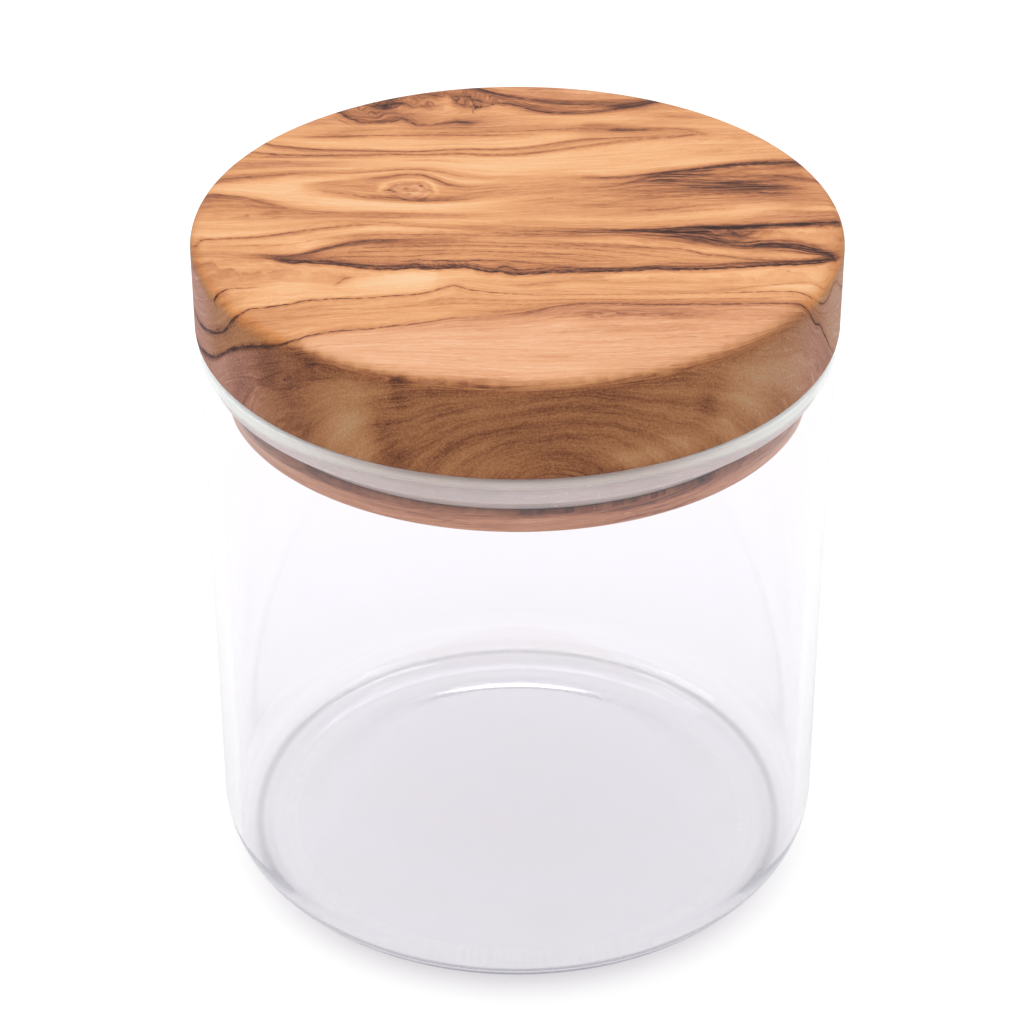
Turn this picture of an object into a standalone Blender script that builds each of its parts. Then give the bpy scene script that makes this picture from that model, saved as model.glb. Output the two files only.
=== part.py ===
"""Glass storage jar with a turned olive-wood lid and a silicone seal.

Three turned pieces share the vertical axis: a straight-sided glass jar, a thick wooden lid with a
grooved plug under its disc, and a ribbed silicone ring that sits in the groove and closes against
the bore. Metres, +Z up, origin on the table at the centre of the jar's foot.
"""

import math

import bmesh
import bpy

# Jar
JAR_RADIUS = 0.0500
JAR_HEIGHT = 0.0978
WALL = 0.0024
FLOOR_THICKNESS = 0.0030
HEEL_RADIUS = 0.0100  # rounding between the outer wall and the foot
INNER_HEEL_SHARE = 0.35  # the bore's own rounding is tighter, so the floor inside is wide and flat
FOOT_WIDTH = 0.0020  # flat ring that the jar stands on
PUNT_RISE = 0.0009  # how far the middle of the base is pushed up
PUNT_RUN = 0.0060  # distance over which the base rises from the foot ring
RIM_SWELL = 0.0002  # fire polishing leaves the rim a little thicker than the wall
RIM_SWELL_HEIGHT = 0.0030

# Lid
LID_OVERHANG = 0.0004  # how far the disc stands out past the jar's wall
LID_THICKNESS = 0.0161
LID_TOP_EDGE = 0.0024  # rounding of the upper edge
LID_LOWER_EDGE = 0.0009  # rounding of the lower edge

# Plug under the disc: a neck, which the seal sits round, and a flange below it
PLUG_DEPTH = 0.0118
FLANGE_CLEARANCE = 0.0025  # from the flange out to the bore
FLANGE_THICKNESS = 0.0031
FLANGE_EDGE = 0.0006
GROOVE_DEPTH = 0.0033  # from the flange's edge in to the neck
GROOVE_FILLET = 0.0005

# Seal
BAND_THICKNESS = 0.0016  # the flat ring against the neck
RIB_COUNT = 2
RIB_PITCH = 0.0022  # height from one rib to the next
RIB_ROUND = 0.0009  # radius of a rib's tip
RIB_ROOT = 0.0014  # height of a rib where it leaves the band, to each side of its middle
TOP_RIB_DROP = 0.0026  # from the disc's underside down to the middle of the top rib

# Fits
SEAT_GAP = 0.0003  # clearance where two pieces touch

SEGMENTS = 72  # facets round each turned piece


# Places that follow from the sizes above
BORE_RADIUS = JAR_RADIUS - WALL
LID_RADIUS = JAR_RADIUS + LID_OVERHANG
FLANGE_RADIUS = BORE_RADIUS - FLANGE_CLEARANCE
NECK_RADIUS = FLANGE_RADIUS - GROOVE_DEPTH
INNER_HEEL_RADIUS = HEEL_RADIUS * INNER_HEEL_SHARE
FOOT_OUTER = JAR_RADIUS - HEEL_RADIUS
FOOT_INNER = FOOT_OUTER - FOOT_WIDTH
DISC_UNDERSIDE = JAR_HEIGHT + SEAT_GAP
LID_TOP = DISC_UNDERSIDE + LID_THICKNESS
PLUG_BOTTOM = DISC_UNDERSIDE - PLUG_DEPTH
FLANGE_TOP = PLUG_BOTTOM + FLANGE_THICKNESS


def arc(centre_r, centre_z, radius, start, end, pieces):
    """Points on a circle in the radius-height plane, from one angle to another in degrees.

    Angle 0 points away from the axis and 90 points up."""
    points = []
    for i in range(pieces + 1):
        angle = math.radians(start + (end - start) * i / pieces)
        points.append((centre_r + radius * math.cos(angle), centre_z + radius * math.sin(angle)))
    return points


def punt(outer_to_inner, base_z, pieces=4):
    """The rise of the base from the foot ring to its middle, a half wave of a cosine."""
    points = []
    for i in range(pieces + 1):
        share = i / pieces if outer_to_inner else 1 - i / pieces
        rise = PUNT_RISE * (1 - math.cos(math.pi * share)) / 2
        points.append((FOOT_INNER - PUNT_RUN * share, base_z + rise))
    return points


def jar_profile():
    """From the middle of the inner floor, up the bore, over the rim, down the outside and under."""
    inner_heel = INNER_HEEL_RADIUS
    rim_radius = (WALL + RIM_SWELL) / 2
    rim_z = JAR_HEIGHT - rim_radius
    rim_middle = JAR_RADIUS - rim_radius
    swell_z = rim_z - RIM_SWELL_HEIGHT
    points = [(0.0, FLOOR_THICKNESS + PUNT_RISE)]
    points += punt(False, FLOOR_THICKNESS)
    points += arc(BORE_RADIUS - inner_heel, FLOOR_THICKNESS + inner_heel, inner_heel, -90, 0, 7)
    points.append((BORE_RADIUS, swell_z))
    points += arc(rim_middle, rim_z, rim_radius, 180, 0, 8)
    points += arc(FOOT_OUTER, HEEL_RADIUS, HEEL_RADIUS, 0, -90, 8)
    points += punt(True, 0.0)
    points.append((0.0, PUNT_RISE))
    return points


def lid_profile():
    """From the middle of the top, over the edge, down the side and in to the neck and flange."""
    top_edge_r = LID_RADIUS - LID_TOP_EDGE
    lower_edge_r = LID_RADIUS - LID_LOWER_EDGE
    points = [(0.0, LID_TOP)]
    points += arc(top_edge_r, LID_TOP - LID_TOP_EDGE, LID_TOP_EDGE, 90, 0, 7)
    points += arc(lower_edge_r, DISC_UNDERSIDE + LID_LOWER_EDGE, LID_LOWER_EDGE, 0, -90, 4)
    points += arc(NECK_RADIUS + GROOVE_FILLET, DISC_UNDERSIDE - GROOVE_FILLET, GROOVE_FILLET, 90, 180, 3)
    points += arc(NECK_RADIUS + GROOVE_FILLET, FLANGE_TOP + GROOVE_FILLET, GROOVE_FILLET, 180, 270, 3)
    points += arc(FLANGE_RADIUS - FLANGE_EDGE, FLANGE_TOP - FLANGE_EDGE, FLANGE_EDGE, 90, 0, 3)
    points += arc(FLANGE_RADIUS - FLANGE_EDGE, PLUG_BOTTOM + FLANGE_EDGE, FLANGE_EDGE, 0, -90, 3)
    points.append((0.0, PLUG_BOTTOM))
    return points


def seal_profile():
    """Down the ribbed outer side, rib by rib, and back up the bore of the ring, as a closed loop."""
    bore = NECK_RADIUS + SEAT_GAP
    band = bore + BAND_THICKNESS
    tip = BORE_RADIUS - SEAT_GAP - RIM_SWELL
    top = DISC_UNDERSIDE - SEAT_GAP
    bottom = FLANGE_TOP + SEAT_GAP
    corner = GROOVE_FILLET
    points = [(bore, top - corner), (bore + corner, top), (band, top)]
    for i in range(RIB_COUNT):
        middle = DISC_UNDERSIDE - TOP_RIB_DROP - i * RIB_PITCH
        valley = middle + RIB_PITCH / 2
        if i == 0:
            points.append((band, middle + RIB_ROOT))
        else:
            points.append((tip - RIB_ROUND, valley))
        points += arc(tip - RIB_ROUND, middle, RIB_ROUND, 75, -75, 6)
    points.append((band, middle - RIB_ROOT))
    points += [(band, bottom), (bore + corner, bottom), (bore, bottom + corner)]
    return points


def material(name, color, roughness, metallic=0.0, transmission=0.0, ior=1.45):
    """A Principled material for one piece."""
    new = bpy.data.materials.new(name)
    new.use_nodes = True
    shader = new.node_tree.nodes["Principled BSDF"]
    shader.inputs["Base Color"].default_value = (*color, 1.0)
    shader.inputs["Roughness"].default_value = roughness
    shader.inputs["Metallic"].default_value = metallic
    shader.inputs["Transmission Weight"].default_value = transmission
    shader.inputs["IOR"].default_value = ior
    return new


def turned(name, profile, closed, finish, collection):
    """One turned piece: a profile in the XZ plane, swept once round Z by a Screw modifier."""
    mesh = bpy.data.meshes.new(name)
    lines = bmesh.new()
    corners = [lines.verts.new((r, 0.0, z)) for r, z in profile]
    for first, second in zip(corners, corners[1:]):
        lines.edges.new((first, second))
    if closed:
        lines.edges.new((corners[-1], corners[0]))
    lines.to_mesh(mesh)
    lines.free()
    mesh.materials.append(finish)
    piece = bpy.data.objects.new(name, mesh)
    collection.objects.link(piece)
    sweep = piece.modifiers.new("Turn", "SCREW")
    sweep.axis = "Z"
    sweep.angle = math.tau
    sweep.steps = SEGMENTS
    sweep.render_steps = SEGMENTS
    sweep.use_smooth_shade = True
    sweep.use_merge_vertices = True
    sweep.merge_threshold = 0.00001
    return piece


def glass_jar(collection):
    finish = material("glass", (0.93, 0.96, 0.95), 0.02, transmission=1.0, ior=1.47)
    return turned("glass_jar", jar_profile(), False, finish, collection)


def wooden_lid(collection):
    finish = material("olive_wood", (0.66, 0.42, 0.24), 0.50)
    return turned("wooden_lid", lid_profile(), False, finish, collection)


def silicone_seal(collection):
    finish = material("silicone", (0.72, 0.66, 0.62), 0.45)
    return turned("silicone_seal", seal_profile(), True, finish, collection)


def axis_empty(name, height, collection):
    """An empty on the jar's axis, which the moving pieces hang from."""
    empty = bpy.data.objects.new(name, None)
    empty.location = (0.0, 0.0, height)
    empty.empty_display_size = LID_RADIUS / 2
    collection.objects.link(empty)
    return empty


def hang(piece, carrier):
    """Parents a piece to a carrier and leaves the piece where it is."""
    piece.parent = carrier
    piece.matrix_parent_inverse = carrier.matrix_world.inverted()


def main():
    for old in list(bpy.data.objects):
        bpy.data.objects.remove(old, do_unlink=True)
    collection = bpy.data.collections.new("glass_storage_jar")
    bpy.context.scene.collection.children.link(collection)
    glass_jar(collection)
    lid = wooden_lid(collection)
    seal = silicone_seal(collection)
    lift = axis_empty("lid_lift_axis", DISC_UNDERSIDE, collection)
    turn = axis_empty("lid_turn_axis", DISC_UNDERSIDE, collection)
    bpy.context.view_layer.update()
    hang(seal, lift)
    hang(turn, lift)
    bpy.context.view_layer.update()
    hang(lid, turn)


main()
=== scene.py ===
# %% [markdown]
# # Glass storage jar with an olive-wood lid
#
# The jar is a straight glass tube with a closed foot, the lid is one thick piece of olive wood with
# a plug under it, and a ribbed silicone ring round the plug closes against the bore. The packed
# model gives the sizes; this script dresses it: it turns each piece again with finer steps, and
# most of its work is the figure of the wood.

# %% Load the frame
import math

import bpy
import numpy as np
from mathutils import Matrix, Vector


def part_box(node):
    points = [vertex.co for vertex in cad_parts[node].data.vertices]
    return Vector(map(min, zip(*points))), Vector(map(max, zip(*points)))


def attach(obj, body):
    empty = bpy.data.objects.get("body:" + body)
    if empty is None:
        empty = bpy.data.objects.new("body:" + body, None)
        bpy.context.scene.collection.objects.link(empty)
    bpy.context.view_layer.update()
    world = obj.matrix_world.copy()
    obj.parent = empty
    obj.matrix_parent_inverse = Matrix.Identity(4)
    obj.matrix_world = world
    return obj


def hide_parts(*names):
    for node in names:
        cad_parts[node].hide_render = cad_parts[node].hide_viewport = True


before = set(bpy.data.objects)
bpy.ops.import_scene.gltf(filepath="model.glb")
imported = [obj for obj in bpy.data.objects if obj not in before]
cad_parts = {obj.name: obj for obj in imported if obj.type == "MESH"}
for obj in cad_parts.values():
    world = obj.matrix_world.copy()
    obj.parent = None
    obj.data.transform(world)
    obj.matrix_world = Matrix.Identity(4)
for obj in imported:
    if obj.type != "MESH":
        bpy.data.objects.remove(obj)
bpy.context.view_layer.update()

MM = 0.001

# %% Sizes in millimetres, read from the nodes' boxes
_, jar_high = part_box("glass_jar")
lid_low, lid_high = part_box("wooden_lid")
JAR_RADIUS = round(jar_high[0] / MM, 2)
JAR_HEIGHT = round(jar_high[2] / MM, 2)
LID_RADIUS = round(lid_high[0] / MM, 2)
LID_TOP = round(lid_high[2] / MM, 2)
PLUG_BOTTOM = round(lid_low[2] / MM, 2)
print("jar", JAR_RADIUS, JAR_HEIGHT, "lid", LID_RADIUS, LID_TOP, "plug down to", PLUG_BOTTOM)

# %% [markdown]
# ## Camera
#
# The jar is seen from in front and above, through a long lens, so its upright sides stay almost
# parallel. A long lens from far away gives that look; a short one close by would make the lid
# balloon. The camera is set by three directions instead of angles: where it stands, which way it
# looks and which way is up in the picture.

# %% Camera
VIEW_FROM = Vector((0.0, -0.43761, 0.33812))
VIEW_ALONG = Vector((0.0, 0.84475, -0.53516))
VIEW_UP = Vector((0.0, 0.53516, 0.84475))
LENS_MM = 111.71
SENSOR_MM = 36.0
SIDE_SHIFT = -0.0053

lens = bpy.data.cameras.new("camera")
lens.lens = LENS_MM
lens.sensor_width = SENSOR_MM
lens.shift_x = SIDE_SHIFT
lens.clip_start = 0.01
lens.clip_end = 20.0
camera = bpy.data.objects.new("camera", lens)
right = VIEW_ALONG.cross(VIEW_UP).normalized()
above = right.cross(VIEW_ALONG).normalized()
turn = Matrix((right, above, -VIEW_ALONG.normalized())).transposed()
camera.matrix_world = Matrix.Translation(VIEW_FROM) @ turn.to_4x4()
bpy.context.scene.collection.objects.link(camera)
bpy.context.scene.camera = camera
print("camera looks down", round(math.degrees(math.asin(-VIEW_ALONG.z)), 1), "degrees")

# %% [markdown]
# ## A small kit for node materials
#
# Every finish here is made of nodes. Writing each node and link out in full is long, so one short
# helper adds a node, sets its options and links its inputs in a single line.

# %% Node helper
def node(tree, kind, settings=None, **inputs):
    """Adds a node; inputs are values or sockets by name, with _ for a space, or i0, i1 by place."""
    new = tree.nodes.new(kind)
    for name, value in (settings or {}).items():
        setattr(new, name, value)
    for name, value in inputs.items():
        key = int(name[1:]) if name[0] == "i" and name[1:].isdigit() else name.replace("_", " ")
        if isinstance(value, bpy.types.NodeSocket):
            tree.links.new(value, new.inputs[key])
        else:
            new.inputs[key].default_value = value
    return new


def maths(tree, operation, first, second=0.0, third=0.0, clamp=False):
    """One arithmetic step on numbers or sockets; returns its output socket."""
    step = node(tree, "ShaderNodeMath", {"operation": operation, "use_clamp": clamp},
                i0=first, i1=second, i2=third)
    return step.outputs[0]


def mapped(tree, value, low, high, to_low=0.0, to_high=1.0, smooth=True):
    """A value carried from one range to another, eased at both ends or in a straight line."""
    kind = "SMOOTHSTEP" if smooth else "LINEAR"
    step = node(tree, "ShaderNodeMapRange", {"interpolation_type": kind},
                Value=value, From_Min=low, From_Max=high, To_Min=to_low, To_Max=to_high)
    return step.outputs[0]


def noise(tree, vector, scale, detail=2.0, roughness=0.5, distortion=0.0):
    """Soft random values around 0.5 at a vector."""
    step = node(tree, "ShaderNodeTexNoise", None, Vector=vector, Scale=scale, Detail=detail,
                Roughness=roughness, Distortion=distortion)
    return step.outputs["Fac"]


def stretched(tree, vector, factors):
    """The same place with each axis stretched by its own factor."""
    step = node(tree, "ShaderNodeVectorMath", {"operation": "MULTIPLY"}, i0=vector, i1=factors)
    return step.outputs[0]


def blended(tree, share, first, second, kind="MIX"):
    """Two colours mixed by a share."""
    step = node(tree, "ShaderNodeMix", {"data_type": "RGBA", "blend_type": kind})
    for place, value in ((0, share), (6, first), (7, second)):
        if isinstance(value, bpy.types.NodeSocket):
            tree.links.new(value, step.inputs[place])
        else:
            step.inputs[place].default_value = value
    return step.outputs[2]


def new_material(name):
    """An empty node material: its tree and its output node."""
    made = bpy.data.materials.new(name)
    made.use_nodes = True
    made.node_tree.nodes.clear()
    return made, made.node_tree, made.node_tree.nodes.new("ShaderNodeOutputMaterial")


def linear(red, green, blue):
    """A colour picked on a 0-255 screen scale, as the linear values that shaders take."""
    share = np.array([red, green, blue]) / 255.0
    steps = np.where(share <= 0.04045, share / 12.92, ((share + 0.055) / 1.055) ** 2.4)
    return (*[float(v) for v in steps], 1.0)


print("half grey on the screen sends", round(linear(128, 128, 128)[0], 3), "of the light of white")

# %% [markdown]
# ## Floor and light
#
# The jar stands on plain white in very soft light. A bright floor that reaches past the frame does
# for the table and the backdrop in one. It glows, so that it stays white under the jar, and a floor
# that glows takes almost no shadow. The faint shade where the foot meets it is therefore painted
# into its colour, by the distance from the jar's axis, and it is stronger in front than behind.
#
# The light comes mostly from above through a large soft panel, so the lid's top is bright and its
# side is in shade, and a white surround keeps the glass clear: glass shows what is around it, so
# dark surroundings would draw dark edges. A ray meets many walls of glass on its way, so it may
# bounce more often than is usual.

# %% Floor
FLOOR_REACH = 6.0
FLOOR_TONE = 0.24
FLOOR_GLOW = 0.62
CONTACT_TINT = (0.31, 0.28, 0.33, 1.0)
CONTACT_FROM = 42.5
CONTACT_REACH = 8.5
CONTACT_RISE = (-1.2, 0.5)
CONTACT_FALL = 1.6
FRONT_SHADE = 0.62
BACK_SHADE = 0.12
SHADE_TURNS = (-0.040, 0.005)
MIRRORED_GLOW = 0.42

floor_mesh = bpy.data.meshes.new("floor")
corners = [(-FLOOR_REACH, -FLOOR_REACH, 0), (FLOOR_REACH, -FLOOR_REACH, 0),
           (FLOOR_REACH, FLOOR_REACH, 0), (-FLOOR_REACH, FLOOR_REACH, 0)]
floor_mesh.from_pydata(corners, [], [(0, 1, 2, 3)])
floor = bpy.data.objects.new("floor", floor_mesh)
bpy.context.scene.collection.objects.link(floor)
paper, tree, out = new_material("pale_floor")
place = node(tree, "ShaderNodeTexCoord").outputs["Object"]
away = maths(tree, "DIVIDE", node(tree, "ShaderNodeVectorMath", {"operation": "LENGTH"},
                                  i0=place).outputs["Value"], MM)
fading = mapped(tree, away, CONTACT_FROM, CONTACT_FROM + CONTACT_REACH, 1.0, 0.0, smooth=False)
beside = maths(tree, "MULTIPLY", maths(tree, "POWER", fading, CONTACT_FALL),
               mapped(tree, away, CONTACT_FROM + CONTACT_RISE[0], CONTACT_FROM + CONTACT_RISE[1]))
toward = node(tree, "ShaderNodeSeparateXYZ", None, Vector=place).outputs["Y"]
beside = maths(tree, "MULTIPLY", beside, mapped(tree, toward, *SHADE_TURNS, FRONT_SHADE, BACK_SHADE))
glow = blended(tree, beside, (1.0, 1.0, 1.0, 1.0), CONTACT_TINT)
ray = node(tree, "ShaderNodeLightPath")
mirrored = maths(tree, "SUBTRACT", ray.outputs["Is Glossy Ray"], ray.outputs["Is Transmission Ray"],
                 clamp=True)
strength = maths(tree, "MULTIPLY_ADD", mirrored, MIRRORED_GLOW - FLOOR_GLOW, FLOOR_GLOW)
shader = node(tree, "ShaderNodeBsdfPrincipled", None, Roughness=0.9, Specular_IOR_Level=0.0,
              Base_Color=(FLOOR_TONE, FLOOR_TONE, FLOOR_TONE, 1.0),
              Emission_Color=glow, Emission_Strength=strength)
tree.links.new(shader.outputs[0], out.inputs["Surface"])
floor_mesh.materials.append(paper)
print("floor reaches", FLOOR_REACH, "m each way")

# %% Lights
def panel(name, place, aim, size, power):
    """A square soft light that faces a point."""
    data = bpy.data.lights.new(name, "AREA")
    data.shape = "SQUARE"
    data.size = size
    data.energy = power
    lamp = bpy.data.objects.new(name, data)
    lamp.location = place
    facing = Vector(aim) - Vector(place)
    lamp.rotation_mode = "QUATERNION"
    lamp.rotation_quaternion = facing.to_track_quat("-Z", "Y")
    lamp.visible_glossy = False
    bpy.context.scene.collection.objects.link(lamp)
    return lamp


MIDDLE = (0.0, 0.0, 0.06)
OVERHEAD_AT = (-0.06, 0.12, 1.30)
OVERHEAD_SIZE = 1.5
OVERHEAD_POWER = 30.0
SKY_LOW = 0.80
SKY_HIGH = 1.45
SKY_FROM = 0.2
SKY_TO = 0.8

panel("overhead", OVERHEAD_AT, MIDDLE, OVERHEAD_SIZE, OVERHEAD_POWER)
sky = bpy.data.worlds.new("surround")
sky.use_nodes = True
tree = sky.node_tree
upward = node(tree, "ShaderNodeSeparateXYZ", None,
              Vector=node(tree, "ShaderNodeTexCoord").outputs["Generated"]).outputs["Z"]
tree.links.new(mapped(tree, upward, SKY_FROM, SKY_TO, SKY_LOW, SKY_HIGH),
               tree.nodes["Background"].inputs["Strength"])
tree.nodes["Background"].inputs["Color"].default_value = (1.0, 1.0, 1.0, 1.0)
bpy.context.scene.world = sky
bpy.context.scene.view_settings.view_transform = "Standard"
bpy.context.scene.cycles.max_bounces = 24
bpy.context.scene.cycles.transmission_bounces = 20
bpy.context.scene.cycles.glossy_bounces = 10
bpy.context.scene.cycles.transparent_max_bounces = 24
bpy.context.scene.cycles.blur_glossy = 0.0

# %% [markdown]
# ## Turned pieces
#
# All three pieces are round, so each is a profile carried once round the upright axis. A Screw
# modifier could do it, but here the grid is worked out directly: every point is the profile's
# radius and height at one of many angles. That makes it easy to let the radius vary a little with
# the angle, and to give each point its own values for the material.

# %% Profile helpers
def arc(centre_r, centre_z, radius, start, end, pieces):
    """Points on a circle: centre + radius * (cos a, sin a) for angles a from start to end."""
    angle = np.radians(np.linspace(start, end, pieces + 1))
    return np.stack([centre_r + radius * np.cos(angle), centre_z + radius * np.sin(angle)], axis=1)


def straight(start, end, pieces):
    """Points in even steps from start to end, the first one left out."""
    share = np.linspace(0.0, 1.0, pieces + 1)[1:, None]
    return np.array(start) + (np.array(end) - np.array(start)) * share


def joined(*runs):
    """Runs of points end to end, without points that repeat."""
    points = np.concatenate([np.atleast_2d(run) for run in runs])
    step = np.hypot(*np.diff(points, axis=0).T)
    return points[np.concatenate([[True], step > 1e-6])]


print("a quarter circle in 6 steps has", len(arc(0, 0, 1, 0, 90, 6)), "points")

# %% Turned surface
def turned(name, profile, segments, loop=False, swell=None):
    """Point (i, j) is (r cos a, r sin a, z) for profile point i and angle a = j / segments turns.

    A profile that starts and ends on the axis gets one point there and a fan of triangles; a loop
    joins its last point to its first. swell(r, z, a) adds to the radius."""
    radius, height = profile.T
    angle = np.arange(segments) * (2 * np.pi / segments)
    r, a = np.meshgrid(radius, angle, indexing="ij")
    z = np.repeat(height[:, None], segments, axis=1)
    if swell is not None:
        r = r + swell(r, z, a)
    grid = np.stack([r * np.cos(a), r * np.sin(a), z], axis=2)
    rows = len(profile)
    across = np.arange(segments)
    beside = (across + 1) % segments
    if loop:
        points = grid.reshape(-1, 3)
        first = np.arange(rows)
        second = (first + 1) % rows
        ends = []
    else:
        points = np.concatenate([grid[0, :1], grid[1:-1].reshape(-1, 3), grid[-1, :1]])
        first = np.arange(1, rows - 2)
        second = first + 1
        ends = [(0, 1, 1), (len(points) - 1, 1 + (rows - 3) * segments, -1)]
    place = (lambda i, j: i * segments + j) if loop else (lambda i, j: 1 + (i - 1) * segments + j)
    i, j = np.meshgrid(first, across, indexing="ij")
    k, l = np.meshgrid(second, beside, indexing="ij")
    quads = np.stack([place(i, j), place(i, l), place(k, l), place(k, j)], axis=2).reshape(-1, 4)
    faces = [tuple(q) for q in quads.tolist()]
    for pole, start, way in ends:
        ring = np.stack([np.full(segments, pole), start + across, start + beside], axis=1)
        faces += [tuple(t) for t in (ring[:, ::-1] if way > 0 else ring).tolist()]
    mesh = bpy.data.meshes.new(name)
    mesh.from_pydata((points * MM).tolist(), [], faces)
    mesh.update()
    volume = signed_volume(mesh)
    if volume < 0:
        mesh.flip_normals()
    mesh.shade_smooth()
    piece = bpy.data.objects.new(name, mesh)
    bpy.context.scene.collection.objects.link(piece)
    print(name, len(points), "points,", len(faces), "faces,", round(abs(volume) * 1e6, 1), "ml")
    return piece, points


def signed_volume(mesh):
    """Sum over the triangles of a . (b x c) / 6: above 0 when the faces point outwards."""
    mesh.calc_loop_triangles()
    corners = np.zeros(len(mesh.vertices) * 3)
    mesh.vertices.foreach_get("co", corners)
    triangles = np.zeros(len(mesh.loop_triangles) * 3, dtype=np.int32)
    mesh.loop_triangles.foreach_get("vertices", triangles)
    a, b, c = corners.reshape(-1, 3)[triangles.reshape(-1, 3)].transpose(1, 0, 2)
    return float(np.einsum("ij,ij->i", a, np.cross(b, c)).sum() / 6)


# %% [markdown]
# ## Glass jar
#
# The real jar is a length of drawn glass tube with a foot closed in the flame: an even thin wall,
# a rim that the flame has rounded, a soft heel, and a base that is pushed up a little in the
# middle so that it stands on a ring. Refraction shows every facet, so the arcs are fine, and the
# wall wanders by a few hundredths of a millimetre, as blown and drawn glass does.

# %% Jar profile
WALL = 2.4
FLOOR_THICKNESS = 3.0
HEEL = 10.0
INNER_HEEL = 3.5
FOOT_WIDTH = 2.0
PUNT_RISE = 0.9
PUNT_RUN = 6.0
RIM_SWELL = 0.2
RIM_SWELL_RUN = 3.0
BORE = JAR_RADIUS - WALL


def punt(base_z, steps=24):
    """The base's middle rises by half a cosine wave, from the foot ring inwards."""
    share = np.linspace(0.0, 1.0, steps + 1)
    radius = JAR_RADIUS - HEEL - FOOT_WIDTH - PUNT_RUN * share
    return np.stack([radius, base_z + PUNT_RISE * (1 - np.cos(np.pi * share)) / 2], axis=1)


def jar_profile():
    """Inner floor, bore, rounded rim, outer wall, heel, foot and underside."""
    rim_r = (WALL + RIM_SWELL) / 2
    rim_z = JAR_HEIGHT - rim_r
    swell_from = (BORE, rim_z - RIM_SWELL_RUN)
    middle_in = punt(FLOOR_THICKNESS)[::-1]
    middle_out = punt(0.0)
    return joined(
        [0.0, FLOOR_THICKNESS + PUNT_RISE],
        straight((0.0, FLOOR_THICKNESS + PUNT_RISE), middle_in[0], 8),
        middle_in,
        arc(BORE - INNER_HEEL, FLOOR_THICKNESS + INNER_HEEL, INNER_HEEL, -90, 0, 36),
        straight((BORE, FLOOR_THICKNESS + INNER_HEEL), swell_from, 24),
        arc(JAR_RADIUS - rim_r, rim_z, rim_r, 180, 0, 28),
        straight((JAR_RADIUS, rim_z), (JAR_RADIUS, HEEL), 24),
        arc(JAR_RADIUS - HEEL, HEEL, HEEL, 0, -90, 40),
        middle_out,
        straight(middle_out[-1], (0.0, PUNT_RISE), 8))


FRONT_STRETCH = 18.0
FRONT_POWER = 1.5
WANDER = 0.018
WANDER_MIDDLE = 1.6
WALLS_FROM = 40


def wander(r, z, a):
    """How far each point strays inwards from a true turned shape, at radius r and angle a.

    The walls have two slow waves, with two and three crests round the jar, that lean as they
    rise and fade out at the rim and the foot. WANDER_MIDDLE is their greatest height together,
    so the wall only ever strays inwards. The bottom meets the heel in a shoulder, and towards
    the front, where (1 - sin a) / 2 is 1, the shoulder is drawn out into a long soft slope.
    Drawn glass isn't the same all round, and a shoulder that was would gather the lamp into a
    bright spot at the front."""
    wave = np.sin(2 * a + 0.07 * z) + 0.6 * np.sin(3 * a - 0.11 * z + 1.0)
    fade = np.clip((JAR_HEIGHT - z) / 12, 0, 1) * np.clip((z - 2) / 10, 0, 1)
    shoulder = JAR_RADIUS - HEEL - FOOT_WIDTH
    front = ((1 - np.sin(a)) / 2) ** FRONT_POWER
    share = np.clip((shoulder - r) / PUNT_RUN, 0, 1) * np.clip(r / (shoulder - PUNT_RUN), 0, 1)
    slope = np.where(r < shoulder, -FRONT_STRETCH * front * share, 0)
    return slope - WANDER * (WANDER_MIDDLE + wave) * fade * (r > WALLS_FROM)


JAR_SEGMENTS = 256
jar, _ = turned("jar", jar_profile(), JAR_SEGMENTS, swell=wander)
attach(jar, "jar")
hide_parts("glass_jar")

# %% [markdown]
# ## Glass
#
# Clear glass is a surface that refracts, with an index of about 1.47 for this kind. Light that
# should reach the floor through it would have to be found by chance along bent paths, which makes
# a noisy, dark shadow. So shadow rays, and the soft light between matt surfaces, pass through as
# if the wall were a clear, faintly tinted film. A ray that has bent through more walls than the
# count allows would end in black, so it ends in a pale glow instead.
#
# Three places have a tint of their own. The rim is matt, and its colour is painted: in front a
# painted reflection of the wood above it, a brown line, and at the sides painted light, a pale green.
# The inner corner at the bottom carries a painted dark ring, the shade where the foot meets the floor
# as seen through the base, and the thick bottom is a shade greyer than the wall, unevenly, as pressed
# and melted glass is.

# %% Glass material
GLASS_TINT = (0.943, 0.931, 0.956, 1.0)
# A painted dark ring: the shade where the foot meets the floor, seen through the base.
PAINTED_RING_SHADE = (0.50, 0.50, 0.49, 1.0)
BASE_TINT = (0.918, 0.924, 0.920, 1.0)
# The rim's two colours are painted: a brown reflection of the wood above it in front, pale green light
# at the sides.
RIM_FRONT_PAINTED_REFLECTION = (0.49, 0.43, 0.40, 1.0)
RIM_SIDE_PAINTED_LIGHT = (0.68, 0.71, 0.68, 1.0)
RIM_WIDER = 1.2
RIM_DEPTH = (1.9, 0.9)
RIM_PAINTED_SHARE = 0.75
GROUND_ROUGHNESS = 0.35
GLASS_INDEX = 1.47
RIPPLES = (60.0, 60.0, 14.0)
RIPPLE_STRENGTH = 0.05
RIPPLE_HEIGHT = 0.0004
SWIRLS = (38.0, 62.0, 38.0)
LINE_AT = BORE - INNER_HEEL + 0.4
LINE_WIDTH = (0.1, 1.2)
DEEP_TINT = (0.81, 0.81, 0.845, 1.0)
DEEP_DENSITY = 45.0
LOST_GLOW = (0.82, 0.82, 0.84, 1.0)
LOST_AFTER = 9.0
FILM_TINT = (0.920, 0.912, 0.930, 1.0)

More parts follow.
